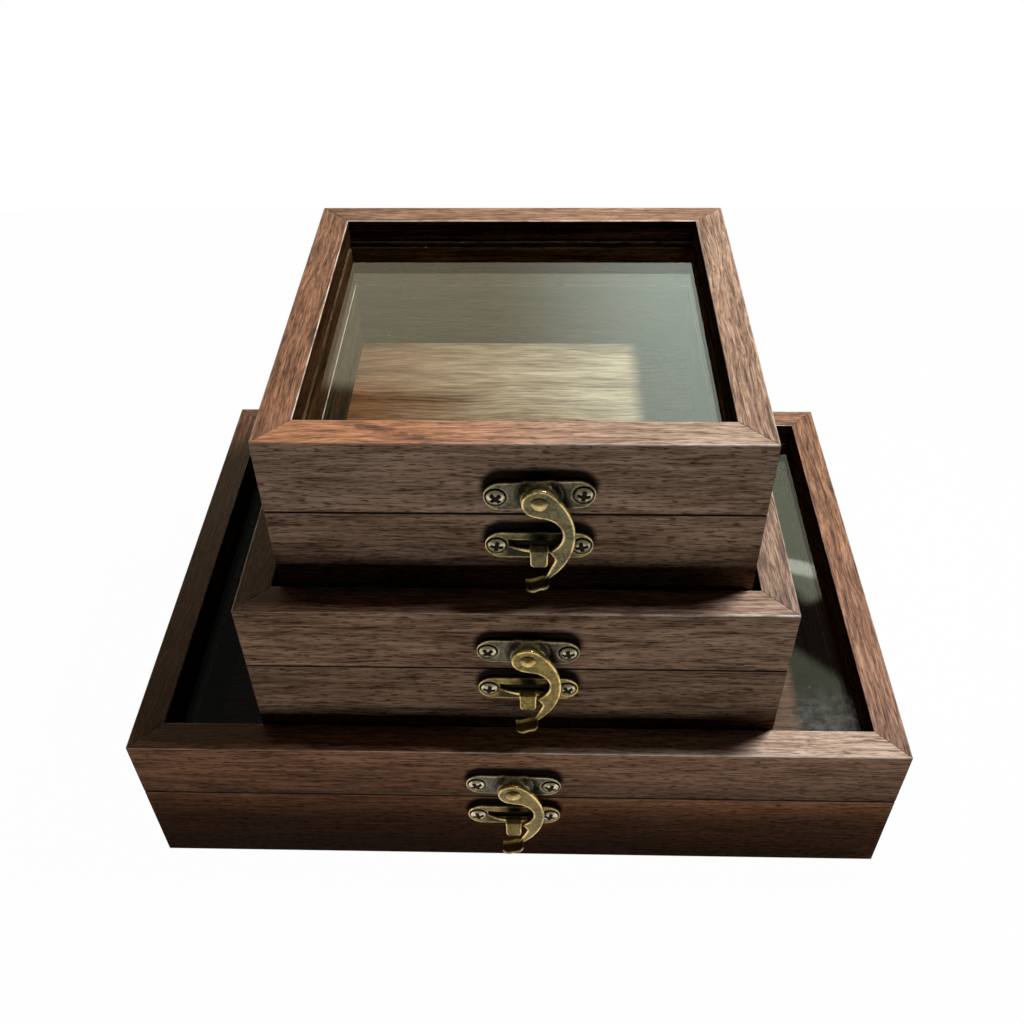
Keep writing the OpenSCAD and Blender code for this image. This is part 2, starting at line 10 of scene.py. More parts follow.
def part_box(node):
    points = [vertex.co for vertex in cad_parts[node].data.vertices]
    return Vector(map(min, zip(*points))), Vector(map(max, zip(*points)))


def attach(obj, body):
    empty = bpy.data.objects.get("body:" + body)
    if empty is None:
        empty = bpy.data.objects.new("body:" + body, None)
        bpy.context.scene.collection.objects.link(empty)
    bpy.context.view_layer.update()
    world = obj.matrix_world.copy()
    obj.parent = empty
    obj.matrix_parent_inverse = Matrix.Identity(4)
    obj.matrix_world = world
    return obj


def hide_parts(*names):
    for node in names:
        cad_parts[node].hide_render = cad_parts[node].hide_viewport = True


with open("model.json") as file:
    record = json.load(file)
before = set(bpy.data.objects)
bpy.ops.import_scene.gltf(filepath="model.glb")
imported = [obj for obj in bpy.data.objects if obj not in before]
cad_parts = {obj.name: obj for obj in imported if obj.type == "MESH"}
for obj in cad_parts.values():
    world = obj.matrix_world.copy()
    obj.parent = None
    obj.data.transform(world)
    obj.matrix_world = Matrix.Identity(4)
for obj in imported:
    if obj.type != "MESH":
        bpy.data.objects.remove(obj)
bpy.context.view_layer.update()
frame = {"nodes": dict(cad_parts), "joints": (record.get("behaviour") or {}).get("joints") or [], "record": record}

MM = 0.001
CASES = ("large", "medium", "small")
SIDES = ("front", "right", "back", "left")
RECORD = frame["record"]
JOINTS = {joint["name"]: joint for joint in frame["joints"]}


# Camera: solved from the corners of the three lids

CAMERA_AT = Vector((6.85, -257.06, 313.63)) * MM
CAMERA_PITCH, CAMERA_ROLL, CAMERA_YAW = (math.radians(a) for a in (42.81, -1.042, 2.127))
SENSOR = 36.0
LENS = 1068.8 / 1024 * SENSOR


def make_camera():
    turn = Matrix.Rotation(CAMERA_YAW, 3, "Z")
    forward = turn @ Vector((0, math.cos(CAMERA_PITCH), -math.sin(CAMERA_PITCH)))
    level_up = turn @ Vector((0, math.sin(CAMERA_PITCH), math.cos(CAMERA_PITCH)))
    level_right = turn @ Vector((1, 0, 0))
    right = math.cos(CAMERA_ROLL) * level_right + math.sin(CAMERA_ROLL) * level_up
    up = math.cos(CAMERA_ROLL) * level_up - math.sin(CAMERA_ROLL) * level_right
    data = bpy.data.cameras.new("camera")
    data.lens, data.sensor_width = LENS, SENSOR
    data.clip_start, data.clip_end = 0.01, 20
    camera = add_object("camera", data)
    axes = Matrix((right, up, -forward)).transposed().to_4x4()
    camera.matrix_world = Matrix.Translation(CAMERA_AT) @ axes
    bpy.context.scene.camera = camera


# Node trees


class Nodes:
    """A node tree, built by small calls that return output sockets."""

    def __init__(self, owner):
        owner.use_nodes = True
        self.tree = owner.node_tree
        self.tree.nodes.clear()

    def new(self, kind, inputs=(), out=0, **settings):
        node = self.tree.nodes.new("ShaderNode" + kind)
        for key, value in settings.items():
            setattr(node, key, value)
        for key, value in dict(inputs).items():
            self.put(node.inputs[key], value)
        return node.outputs[out] if node.outputs else node

    def put(self, socket, value):
        if isinstance(value, bpy.types.NodeSocket):
            self.tree.links.new(value, socket)
        else:
            socket.default_value = value

    def math(self, operation, a, b=0.0, c=0.0, clamp=False):
        return self.new("Math", {0: a, 1: b, 2: c}, operation=operation, use_clamp=clamp)

    def times(self, a, b, clamp=False):
        return self.math("MULTIPLY", a, b, clamp=clamp)

    def madd(self, a, b, c):
        """a times b, plus c."""
        return self.math("MULTIPLY_ADD", a, b, c)

    def minus(self, a, b):
        return self.math("SUBTRACT", a, b)

    def flip(self, a):
        return self.math("SUBTRACT", 1.0, a)

    def most(self, a, b):
        return self.math("MAXIMUM", a, b)

    def size(self, a):
        return self.math("ABSOLUTE", a)

    def scale(self, vector, factors):
        return self.new("VectorMath", {0: vector, 1: factors}, operation="MULTIPLY")

    def split(self, vector):
        return [self.new("SeparateXYZ", {0: vector}, out=i) for i in range(3)]

    def noise(self, vector, scale=1.0, detail=2.0, rough=0.5, warp=0.0):
        inputs = {"Vector": vector, "Scale": scale, "Detail": detail}
        inputs.update({"Roughness": rough, "Distortion": warp})
        return self.new("TexNoise", inputs)

    def step(self, value, low, high, start=0.0, end=1.0):
        inputs = {0: value, 1: low, 2: high, 3: start, 4: end}
        return self.new("MapRange", inputs, interpolation_type="SMOOTHSTEP")

    def fall(self, value, low, high):
        """1 below low and 0 above high."""
        return self.step(value, low, high, 1.0, 0.0)

    def mix(self, factor, a, b, blend="MIX"):
        inputs = {0: factor, 6: a, 7: b}
        return self.new("Mix", inputs, out=2, data_type="RGBA", blend_type=blend)

    def tint(self, factor, a, b):
        return self.mix(factor, a, b, "MULTIPLY")

    def grey(self, value):
        return self.new("CombineXYZ", {0: value, 1: value, 2: value})

    def waved(self, vector, slow, reach):
        """The vector, shifted across the grain by a slow wave."""
        wander = self.noise(self.scale(vector, slow), detail=2)
        shift = self.madd(wander, 2 * reach, -reach)
        across = self.new("CombineXYZ", {1: shift})
        return self.new("VectorMath", {0: vector, 1: across}, operation="ADD")

    def ramp(self, factor, stops):
        socket = self.new("ValToRGB", {0: factor})
        elements = socket.node.color_ramp.elements
        while len(elements) < len(stops):
            elements.new(0.5)
        for element, (place, colour) in zip(elements, stops):
            element.position, element.color = place, (*colour, 1)
        return socket

    def surface(self, shader):
        self.new("OutputMaterial", {"Surface": shader})

    def finish(self, colour, rough, height, strength, depth_mm, more=()):
        """The output: a Principled shader with a bump that is depth_mm deep."""
        bump = {"Height": height, "Strength": strength, "Distance": depth_mm * MM}
        inputs = {"Base Color": colour, "Roughness": rough, **dict(more)}
        inputs["Normal"] = self.new("Bump", bump)
        self.surface(self.new("BsdfPrincipled", inputs))


def rgb(*colour):
    return (*colour, 1.0)


def attribute(nodes, name):
    return nodes.new("Attribute", out="Vector", attribute_name=name)


def object_mm(nodes):
    return nodes.scale(nodes.new("TexCoord", out="Object"), (1 / MM,) * 3)


def rays(nodes, *kinds):
    """1 for rays of these kinds."""
    either = 0.0
    for kind in kinds:
        either = nodes.most(either, nodes.new("LightPath", out=f"Is {kind} Ray"))
    return either


def bands(nodes, vector, along, across, **settings):
    """Noise stretched along the grain, in mm."""
    return nodes.noise(nodes.scale(vector, (1 / along, 1 / across, 1)), **settings)


# Walnut film: grain holds (mm along, mm around, seed), tone (warm, wear, top),
# shade (inside, pale, recess); pale is painted sheen, recess is painted shade,
# a negative wear is painted shade in the parting crease, and warm is partly painted light


FRONT_STOPS = (
    (0.40, (0.075, 0.044, 0.027)),
    (0.47, (0.170, 0.107, 0.068)),
    (0.53, (0.250, 0.162, 0.106)),
    (0.61, (0.350, 0.238, 0.160)),
)
TOP_STOPS = (
    (0.37, (0.045, 0.018, 0.010)),
    (0.44, (0.165, 0.085, 0.050)),
    (0.52, (0.310, 0.188, 0.120)),
    (0.62, (0.520, 0.350, 0.245)),
)
# Painted sheen: a paler film, mixed in where the boards show the lamp's sheen
PAINTED_SHEEN_STOPS = (
    (0.37, (0.220, 0.130, 0.085)),
    (0.44, (0.430, 0.290, 0.200)),
    (0.52, (0.610, 0.450, 0.335)),
    (0.62, (0.780, 0.620, 0.490)),
)
WARM = rgb(1.30, 0.79, 0.52)
OLIVE = rgb(0.36, 0.34, 0.25)
# Painted shade: the dark colour of the lid's recess above the glass
RECESS_SHADE = rgb(0.16, 0.14, 0.17)
BARE = rgb(0.90, 0.86, 0.80)
PORE = rgb(0.26, 0.21, 0.19)
STREAK = rgb(0.40, 0.31, 0.28)
CHIP = rgb(0.96, 0.86, 0.74)
# Painted shade: near black, painted as the shadow above each front plate and in the parting line's crease; the
# next three numbers place and size the plate's painted shadow, in mm
PAINTED_SHADE_BLACK = rgb(0.004, 0.0035, 0.003)
PLATE_SHADOW_UP = 2.6
PLATE_SHADOW_STRAIGHT = 9.0
PLATE_SHADOW_REACH = (4.5, 6.6)
# Painted light of each front board: its shade, a painted light level for its faces but not its top,
# then warmth and paleness at its left and its right end; the paleness is painted sheen and the warmth is partly
# painted light
FRONT_PAINTED_LIGHT = {
    "large_lid": (0.82, (0.55, 0.35), (0.0, 0.30)),
    "large_tray": (1.15, (0.85, 0.90), (0.05, 0.55)),
    "medium_lid": (0.98, (0.15, 0.05), (0.0, 0.03)),
    "medium_tray": (0.72, (0.15, 0.05), (0.0, 0.0)),
    "small_lid": (1.0, (0.05, 0.05), (0.22, 0.19)),
    "small_tray": (1.0, (0.05, 0.05), (0.0, 0.0)),
}
# Painted shade: the large tray's front darkens towards its foot, most at its left
FOOT_SHADE = rgb(0.36, 0.30, 0.24)
FOOT_SHADE_HEIGHTS, FOOT_SHADE_REACH = (2.0, 20.0), (20.0, 105.0)
NICK_AT, NICK_SLOPE, NICK_ABOVE = (-70.3, -66.95), 0.42, 100.0
SMOKE_AT, SMOKE_SLOPE, SMOKE = (-29.5, -56.4), 0.31, rgb(0.30, 0.24, 0.24)


def stadium_distance(nodes, mm, middle, half_straight):
    """Distance in mm from a level line of half length half_straight in x and z."""
    x, _, z = nodes.split(mm)
    dx = nodes.size(nodes.minus(x, middle[0]))
    dx = nodes.most(nodes.minus(dx, half_straight), 0.0)
    dz = nodes.minus(z, middle[1])
    squares = nodes.math("ADD", nodes.math("POWER", dx, 2.0), nodes.times(dz, dz))
    return nodes.math("SQRT", squares)


def from_point(nodes, mm, point):
    """x and y as seen from a point, and z, all in mm."""
    x, y, z = nodes.split(mm)
    return nodes.minus(x, point[0]), nodes.minus(y, point[1]), z


def smoke(nodes, mm):
    """A dark cloudy figure that crosses one top rail aslant."""
    off_x, off_y, _ = from_point(nodes, mm, SMOKE_AT)
    band = nodes.fall(nodes.size(nodes.madd(off_x, SMOKE_SLOPE, off_y)), 0.3, 2.8)
    ends = nodes.fall(nodes.size(off_x), 8.0, 17.0)
    cloud = nodes.step(nodes.noise(mm, 0.30, detail=3), 0.22, 0.52)
    return nodes.times(nodes.times(band, ends), cloud)


def nick(nodes, mm):
    """A short bare scratch across the medium lid's left front mitre."""
    off_x, off_y, z = from_point(nodes, mm, NICK_AT)
    along = nodes.size(nodes.madd(off_y, NICK_SLOPE, off_x))
    aside = nodes.size(nodes.madd(off_x, -NICK_SLOPE, off_y))
    length = nodes.times(nodes.fall(along, 1.2, 1.7), nodes.math("GREATER_THAN", z, NICK_ABOVE))
    return nodes.times(length, nodes.fall(aside, 0.15, 0.35))


def film_material(front="", plate_shadow_at=None):
    """Printed walnut film, or one front board's, with a shadow painted round and above its plate, whose middle in
    mm is the second argument.
    """
    material = bpy.data.materials.new(f"walnut_film_{front}" if front else "walnut_film")
    nodes = Nodes(material)
    grain = attribute(nodes, "grain")
    warm, wear, top = nodes.split(attribute(nodes, "tone"))
    inner, pale, recess = nodes.split(attribute(nodes, "shade"))
    waved = nodes.waved(grain, (0.030, 0.06, 1), 2.0)
    slow = bands(nodes, grain, 38, 7, detail=2)
    streak = bands(nodes, waved, 19, 1.15, detail=4, rough=0.62, warp=0.4)
    fine = bands(nodes, waved, 6, 0.34, detail=3, rough=0.6)
    dashes = nodes.step(bands(nodes, grain, 3.2, 0.44, detail=1.5, rough=0.45), 0.55, 0.64)
    long_dark = nodes.step(bands(nodes, waved, 10, 0.72, detail=3, warp=0.6), 0.53, 0.64)
    body = nodes.madd(slow, 0.30, nodes.times(streak, 0.50))
    body = nodes.madd(fine, 0.22, body)
    plain = nodes.ramp(body, FRONT_STOPS)
    lively = nodes.madd(streak, 0.55, nodes.times(fine, 0.45))
    rich = nodes.ramp(lively, TOP_STOPS)
    colour = nodes.mix(top, plain, rich)
    # Painted sheen: the pale channel mixes in the paler film
    lit = nodes.ramp(lively, PAINTED_SHEEN_STOPS)
    colour = nodes.mix(pale, colour, lit)
    dashed = nodes.times(dashes, nodes.madd(top, -0.35, 0.85))
    colour = nodes.tint(dashed, colour, PORE)
    streaked = nodes.times(long_dark, nodes.times(top, 0.72))
    colour = nodes.tint(streaked, colour, STREAK)
    if front == "small_lid":
        dark = nodes.times(smoke(nodes, object_mm(nodes)), top)
        colour = nodes.tint(nodes.times(dark, 0.8), colour, SMOKE)
    # Warmth: partly the film's tone, partly painted light where no sheen shows
    colour = nodes.tint(warm, colour, WARM)
    colour = nodes.tint(inner, colour, OLIVE)
    # Painted shade in the lid's recess above the glass, with lighter stripes along the grain
    stripes = nodes.step(bands(nodes, grain, 70, 0.7, detail=2), 0.40, 0.62, 0.45, 1.9)
    colour = nodes.tint(recess, colour, nodes.tint(1.0, RECESS_SHADE, nodes.grey(stripes)))
    rubbed = nodes.step(bands(nodes, grain, 5, 2.5, detail=3), 0.36, 0.60)
    rubbed = nodes.madd(rubbed, 0.7, 0.3)
    chips = nodes.times(wear, rubbed, clamp=True)
    # Painted shade and light: each front board's faces, not its top, are darkened or lightened by its own factor
    if front:
        shade = rgb(*(FRONT_PAINTED_LIGHT[front][0],) * 3)
        colour = nodes.tint(nodes.flip(top), colour, shade)
    colour = nodes.mix(chips, colour, CHIP)
    # Painted shade towards the foot of the large tray's front, strongest at its left
    if front == "large_tray":
        x, _, z = nodes.split(object_mm(nodes))
        foot = nodes.fall(z, *FOOT_SHADE_HEIGHTS)
        foot = nodes.times(foot, nodes.step(x, *FOOT_SHADE_REACH, 1.0, 0.15))
        colour = nodes.tint(foot, colour, FOOT_SHADE)
    if front in ("", "medium_lid"):
        colour = nodes.mix(nodes.times(nick(nodes, object_mm(nodes)), top), colour, BARE)
    # Painted shade: a negative wear paints the parting line's crease near black
    crease = nodes.times(wear, -0.97, clamp=True)
    colour = nodes.mix(crease, colour, PAINTED_SHADE_BLACK)
    sheen = nodes.madd(top, 0.396, 0.014)
    sheen = nodes.times(sheen, nodes.flip(inner))
    # Painted shadow: the film turns near black round and above the front plate, fading outwards, and loses its
    # sheen there
    if plate_shadow_at is not None:
        middle = (plate_shadow_at[0], plate_shadow_at[1] + PLATE_SHADOW_UP)
        distance = stadium_distance(nodes, object_mm(nodes), middle, PLATE_SHADOW_STRAIGHT)
        dull = nodes.step(distance, *PLATE_SHADOW_REACH, 0.97, 0.0)
        colour = nodes.mix(dull, colour, PAINTED_SHADE_BLACK)
        sheen = nodes.times(sheen, nodes.flip(dull))
    gloss = nodes.madd(streak, -0.16, 0.56)
    gloss = nodes.madd(dashes, 0.15, gloss)
    height = nodes.madd(dashes, -0.7, nodes.times(fine, 0.5))
    height = nodes.madd(long_dark, -0.6, height)
    height = nodes.madd(streak, 0.6, height)
    nodes.finish(colour, gloss, height, 0.5, 0.06, {"Specular IOR Level": sheen})
    return material


FLOOR_STOPS = (
    (0.40, (0.170, 0.100, 0.055)),
    (0.47, (0.400, 0.265, 0.165)),
    (0.54, (0.610, 0.445, 0.305)),
    (0.61, (0.840, 0.690, 0.530)),
)
# Darker and more orange towards the floor's left: partly the paper's tone, partly painted shade
FLOOR_LEFT_TONE_AND_SHADE = rgb(0.64, 0.37, 0.23)
FLOOR_RED = rgb(0.50, 0.31, 0.28)


def panel_material():
    """Tan grained paper on the tray floors, its grain running left to right."""
    material = bpy.data.materials.new("tan_panel")
    nodes = Nodes(material)
    mm = object_mm(nodes)
    waved = nodes.waved(mm, (0.02, 0.05, 0.02), 4.0)
    broad = bands(nodes, waved, 45, 7, detail=2)
    lines = bands(nodes, waved, 16, 1.0, detail=4, rough=0.6, warp=0.3)
    fine = bands(nodes, waved, 5, 0.4, detail=2)
    body = nodes.madd(broad, 0.35, nodes.times(lines, 0.45))
    body = nodes.madd(fine, 0.22, body)
    rough = nodes.madd(lines, 0.12, 0.56)
    x, _, z = nodes.split(mm)
    colour = nodes.ramp(body, FLOOR_STOPS)
    # Partly painted shade: darker and more orange towards the left
    colour = nodes.tint(nodes.fall(x, -62, 14), colour, FLOOR_LEFT_TONE_AND_SHADE)
    colour = nodes.tint(nodes.fall(z, 80, 100), colour, FLOOR_RED)
    nodes.finish(colour, rough, body, 0.4, 0.05, {"Specular IOR Level": 0.3})
    return material


DUST_AT, DUST_REACH = (92.0, -64.0), (3.0, 19.0)
DUST_HAZE = 0.075
LOWEST_PANE = 60.0


def cells(nodes, mm, scale):
    inputs = {"Vector": mm, "Scale": scale, "Randomness": 1.0}
    return nodes.new("TexVoronoi", inputs, out="Distance")


def dust_spot(nodes, mm):
    """1 where dust has gathered, in the lowest pane's front right corner."""
    dx, dy, z = from_point(nodes, mm, DUST_AT)
    squares = nodes.madd(dx, dx, nodes.times(dy, dy))
    near = nodes.fall(nodes.math("SQRT", squares), *DUST_REACH)
    return nodes.times(near, nodes.math("LESS_THAN", z, LOWEST_PANE))


def glass_material():
    """A flat clear pane: straight through, with its reflection and a little dust."""
    material = bpy.data.materials.new("clear_pane")
    nodes = Nodes(material)
    mm = object_mm(nodes)
    facing = nodes.new("LayerWeight", {"Blend": 0.5}, out="Facing")
    reflect = nodes.madd(nodes.math("POWER", facing, 5.0), 0.96, 0.042)
    through = nodes.new("BsdfTransparent", {"Color": rgb(0.925, 0.945, 0.915)})
    mirror = nodes.new("BsdfGlossy", {"Color": rgb(1, 1, 1), "Roughness": 0.012})
    clear = nodes.new("MixShader", {0: reflect, 1: through, 2: mirror})
    sparse = nodes.fall(cells(nodes, mm, 0.16), 0.018, 0.040)
    patches = nodes.step(nodes.noise(mm, 0.03, 2), 0.42, 0.58)
    specks = nodes.times(sparse, patches)
    near = dust_spot(nodes, mm)
    dense = nodes.step(cells(nodes, mm, 1.5), 0.080, 0.200, 0.45, 0.0)
    specks = nodes.most(specks, nodes.times(dense, near))
    dust = nodes.new("BsdfDiffuse", {"Color": rgb(0.86, 0.86, 0.82)})
    haze = nodes.step(nodes.noise(mm, 0.35, detail=3), 0.36, 0.66, 0.15, 1.0)
    haze = nodes.times(nodes.times(haze, near), DUST_HAZE)
    cover = nodes.most(nodes.times(specks, 0.70), haze)
    nodes.surface(nodes.new("MixShader", {0: cover, 1: clear, 2: dust}))
    return material


# Of each brass: its dark, middle and bright colour, roughness and size of its mottling, in mm
BRASSES = {
    "antique_brass_dark": (
        (0.030, 0.026, 0.017), (0.115, 0.098, 0.060), (0.62, 0.49, 0.25), 0.36, 1.1
    ),
    "antique_brass": (
        (0.065, 0.055, 0.026), (0.165, 0.140, 0.062), (0.92, 0.68, 0.28), 0.34, 0.9
    ),
    "golden_brass": (
        (0.095, 0.066, 0.018), (0.240, 0.172, 0.048), (0.98, 0.70, 0.23), 0.34, 0.9
    ),
    "pale_brass_screws": (
        (0.55, 0.45, 0.28), (0.80, 0.69, 0.47), (0.95, 0.85, 0.62), 0.42, 0.7
    ),
}


def brass_material(name, dark, mid, bright, rough, mottle_mm):
    """Brass. relief holds (edge, hollow): edges are rubbed bright and the finger tab's fold has a painted
    highlight; hollows stay black, and so do the painted shadows on the catch plate.
    """
    material = bpy.data.materials.new(name)
    nodes = Nodes(material)
    mm = object_mm(nodes)
    edge, hollow, _ = nodes.split(attribute(nodes, "relief"))
    mottle = nodes.noise(mm, 1 / mottle_mm, detail=4, rough=0.6)
    blotch = nodes.noise(mm, 0.25 / mottle_mm, detail=3, rough=0.6)
    patina = nodes.madd(blotch, 0.5, nodes.times(mottle, 0.5))
    colour = nodes.mix(nodes.step(patina, 0.36, 0.62), rgb(*dark), rgb(*mid))
    rubbed = nodes.times(edge, nodes.step(blotch, 0.36, 0.60, 0.30, 1.0))
    colour = nodes.mix(rubbed, colour, rgb(*bright))
    colour = nodes.mix(hollow, colour, rgb(0.010, 0.009, 0.007))
    dull = nodes.madd(mottle, 0.22, rough - 0.11)
    dull = nodes.madd(rubbed, -0.14, dull)
    scratches = nodes.noise(nodes.scale(mm, (3.0, 3.0, 0.7)), 2.2, detail=3)
    height = nodes.madd(mottle, 0.7, nodes.times(scratches, 0.3))
    nodes.finish(colour, nodes.madd(hollow, 0.4, dull), height, 0.35, 0.03, {"Metallic": 0.82})
    return material


# Meshes


def add_object(name, data):
    thing = bpy.data.objects.new(name, data)
    bpy.context.scene.collection.objects.link(thing)
    return thing


def unit(vector):
    length = math.hypot(*vector)
    return (vector[0] / length, vector[1] / length)


def rounded(corners, steps=3):
    """Corners (a, b, radius, wear) of a closed shape, with each corner eased by an arc."""
    shape = []
    for i, (a, b, radius, wear) in enumerate(corners):
        if radius == 0:
            shape.append((a, b, wear))
            continue
        before, after = corners[i - 1], corners[(i + 1) % len(corners)]
        u = unit((before[0] - a, before[1] - b))
        w = unit((after[0] - a, after[1] - b))
        centre = (a + radius * (u[0] + w[0]), b + radius * (u[1] + w[1]))
        for k in range(steps + 1):
            angle = math.pi / 2 * k / steps
            p = tuple(
                centre[j] - radius * (w[j] * math.cos(angle) + u[j] * math.sin(angle))
                for j in (0, 1)
            )
            shape.append((*p, wear))
    return shape


def inset(points, distance):
    """A closed flat shape drawn in by distance; the inside is on its right if distance > 0."""
    drawn = []
    count = len(points)
    for i in range(count):
        before, here, after = (points[(i + k) % count] for k in (-1, 0, 1))
        u = unit((here[0] - before[0], here[1] - before[1]))
        w = unit((after[0] - here[0], after[1] - here[1]))
        normal = (u[1] + w[1], -u[0] - w[0])
        size = math.hypot(*normal)
        if size < 1e-6:
            drawn.append((here[0], here[1]))
            continue
        reach = distance * min(2.0 / size, 1.6)
        drawn.append((here[0] + normal[0] / size * reach, here[1] + normal[1] / size * reach))
    return drawn


def new_piece(name, points, faces, body, replaced, material, smooth_deg):
    """A mesh piece from points in mm, riding on a body and standing for CAD nodes."""
    mesh = bpy.data.meshes.new(name)
    mesh.from_pydata([[c * MM for c in p] for p in points], [], faces)
    mesh.validate()
    mesh.polygons.foreach_set("use_smooth", [True] * len(mesh.polygons))
    mesh.set_sharp_from_angle(angle=math.radians(smooth_deg))
    mesh.materials.append(material)
    piece = add_object(name, mesh)
    normals = piece.modifiers.new("normals", "WEIGHTED_NORMAL")
    normals.keep_sharp = True
    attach(piece, body)
    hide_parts(*replaced)
    return piece


def set_attribute(piece, name, domain, values):
    held = piece.data.attributes.new(name, "FLOAT_VECTOR", domain)
    held.data.foreach_set("vector", np.asarray(values, np.float32).ravel())


class Build:
    """Points, faces and relief of a hardware piece, gathered in a local frame."""

    def __init__(self):
        self.points, self.faces, self.relief = [], [], []

    def add(self, points, relief):
        start = len(self.points)
        self.points.extend(points)
        self.relief.extend(relief)
        return start

    def strip(self, ring_a, ring_b, count):
        """Quads between two rings that start at those indices."""
        for i in range(count):
            j = (i + 1) % count
            self.faces.append((ring_a + i, ring_a + j, ring_b + j, ring_b + i))

    def face(self, face, flip=False):
        self.faces.append(face[::-1] if flip else face)

    def tube(self, rings, count):
        """Quads along a row of rings, and a face at each end."""
        for a, b in zip(rings, rings[1:]):
            self.strip(a, b, count)
        self.face(tuple(rings[0] + i for i in range(count)), flip=True)
        self.face(tuple(rings[-1] + i for i in range(count)))

    def merge(self, other, matrix):
        start = len(self.points)
        self.points.extend(tuple(matrix @ Vector(p)) for p in other.points)
        self.relief.extend(other.relief)
        self.faces.extend(tuple(i + start for i in face) for face in other.faces)


def placed(matrix, *builds):
    """Several builds as one, moved by matrix."""
    whole = Build()
    for build in builds:
        whole.merge(build, matrix)
    return whole


def circle(radius, out, segments):
    """Points round the outward axis."""
    angles = (2 * math.pi * k / segments for k in range(segments))
    return [(radius * math.cos(a), -out, radius * math.sin(a)) for a in angles]


def hardware(name, build, body, replaced, material, smooth_deg=50):
    piece = new_piece(
        name, build.points, build.faces, body, replaced, material, smooth_deg
    )
    relief = [(*r, 0.0) for r in build.relief]
    set_attribute(piece, "relief", "POINT", relief)


# Boards: each is one profile carried between two mitres

# Wear of an eased edge: 1 shows the bare cream core, below 0 is painted shade in the parting line's crease
CREAM, INNER_EDGE, FRONT_EDGE, PARTING_SHADE = 1.6, 0.95, 0.35, -1.0
MITRE_GAP = 0.02
MITRE_EASE = 0.13
BOARD_STATIONS = 14


def box_mm(node):
    low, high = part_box(node)
    return low / MM, high / MM


class Case:
    """Where one case stands and its sizes, in mm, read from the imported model."""

    def __init__(self, name):
        self.name = name
        tray_low, tray_high = box_mm(f"{name}_tray_front")
        lid_low, lid_high = box_mm(f"{name}_lid_front")
        back_high = box_mm(f"{name}_tray_back")[1]
        floor_low, floor_high = box_mm(f"{name}_tray_floor")
        glass_low, glass_high = box_mm(f"{name}_glass")
        catch_low, catch_high = box_mm(f"{name}_catch")
        self.half_w = tray_high.x
        self.front, self.back = tray_low.y, back_high.y
        self.mid_y = (self.front + self.back) / 2
        self.base, self.tray_top = tray_low.z, tray_high.z
        self.lid_base, self.top = lid_low.z, lid_high.z
        self.board = tray_high.y - tray_low.y
        self.floor_t = floor_high.z - floor_low.z
        self.rabbet = self.half_w - floor_high.x
        self.groove = self.half_w - glass_high.x
        self.glass = (glass_low.z - self.lid_base, glass_high.z - self.lid_base)
        self.catch = ((catch_low.x + catch_high.x) / 2, (catch_low.z + catch_high.z) / 2)
        self.rivet = Vector(JOINTS[f"{name}_hook_swing"]["pos_m"]) / MM

    def length(self, side):
        return 2 * self.half_w if side % 2 == 0 else self.back - self.front

    def place(self, side, base):
        """From a board's own frame (along, inward, up) to the model's."""
        across = self.back - self.front if side % 2 == 0 else 2 * self.half_w
        turn = Matrix.Rotation(math.radians(90 * side), 4, "Z")
        shift = Matrix.Translation((0, -across / 2, 0))
        return Matrix.Translation((0, self.mid_y, base)) @ turn @ shift


def tray_profile(case):
    t, h = case.board, case.tray_top - case.base
    return rounded(
        [
            (0, 0, 0.7, 0.5),
            (0, h, 0.35, PARTING_SHADE),
            (t, h, 0.30, CREAM),
            (t, case.floor_t + 0.05, 0, 0),
            (case.rabbet - 0.05, case.floor_t + 0.05, 0, 0),
            (case.rabbet - 0.05, 0, 0, 0),
        ]
    )


def lid_profile(case):
    t, h = case.board, case.top - case.lid_base
    low, high = case.glass[0] - 0.05, case.glass[1] + 0.05
    deep = case.groove - 0.05
    return rounded(
        [
            (0, 0, 0.35, PARTING_SHADE),
            (0, h, 0.50, FRONT_EDGE),
            (t, h, 0.32, INNER_EDGE),
            (t, high, 0.15, 0.5),
            (deep, high, 0, 0),
            (deep, low, 0, 0),
            (t, low, 0.15, 0),
            (t, 0, 0.35, 0.3),
        ]
    )


RECESS_SHADE_SHARE = (1.0, 0.80, 1.0, 0.65)
# Warmth of the side boards: partly the film's tone, partly painted light
SIDE_WARMTH = (0.0, 0.15, 0.40, 0.62)
RIGHT_WARMTH = {"large": 0.50, "medium": 0.0, "small": 0.15}
# Of each lid's front rail: warmth and paleness of its top and wear of its edge, left and right; the paleness is
# painted sheen, and the warmth and the edge's brightness towards the lit right end are partly painted light
RAIL_LIGHT_AND_WEAR = {
    "large": ((0.55, 0.15), (0.0, 1.0), (0.10, 1.0)),
    "medium": ((0.35, 0.10), (0.0, 0.15), (0.15, 1.0)),
    "small": ((0.95, 0.10), (0.64, 0.45), (0.20, 0.75)),
}


def between(pair, share):
    """From the first value at a board's left to the second at its right."""
    return pair[0] + (pair[1] - pair[0]) * smooth(share, -0.6, 0.6)


def board_finish(case, group, side, share, top, outside):
    """(warm, pale): how orange and how pale the film is there, 0 to 1; the paleness is painted sheen and the
    warmth is partly painted light.
    """
    if side != SIDES.index("front"):
        if group == "tray" or outside:
            return 0.0, 0.0
        if side == SIDES.index("right"):
            return RIGHT_WARMTH[case.name], 0.0
        return SIDE_WARMTH[side], 0.0
    if top and group == "lid":
        warm, pale, _ = RAIL_LIGHT_AND_WEAR[case.name]
    else:
        _, warm, pale = FRONT_PAINTED_LIGHT[f"{case.name}_{group}"]
    return between(warm, share), between(pale, share)


def edge_wear(case, group, side, share, wear):
    """The wear of an eased edge, with what differs from board to board."""
    if group == "lid" and side == SIDES.index("front") and wear == FRONT_EDGE:
        return between(RAIL_LIGHT_AND_WEAR[case.name][2], share)
    if group == "lid" and side == SIDES.index("right") and wear == INNER_EDGE:
        return 0.2
    if group == "tray" and side != SIDES.index("left") and wear == CREAM:
        return 0.3
    return wear


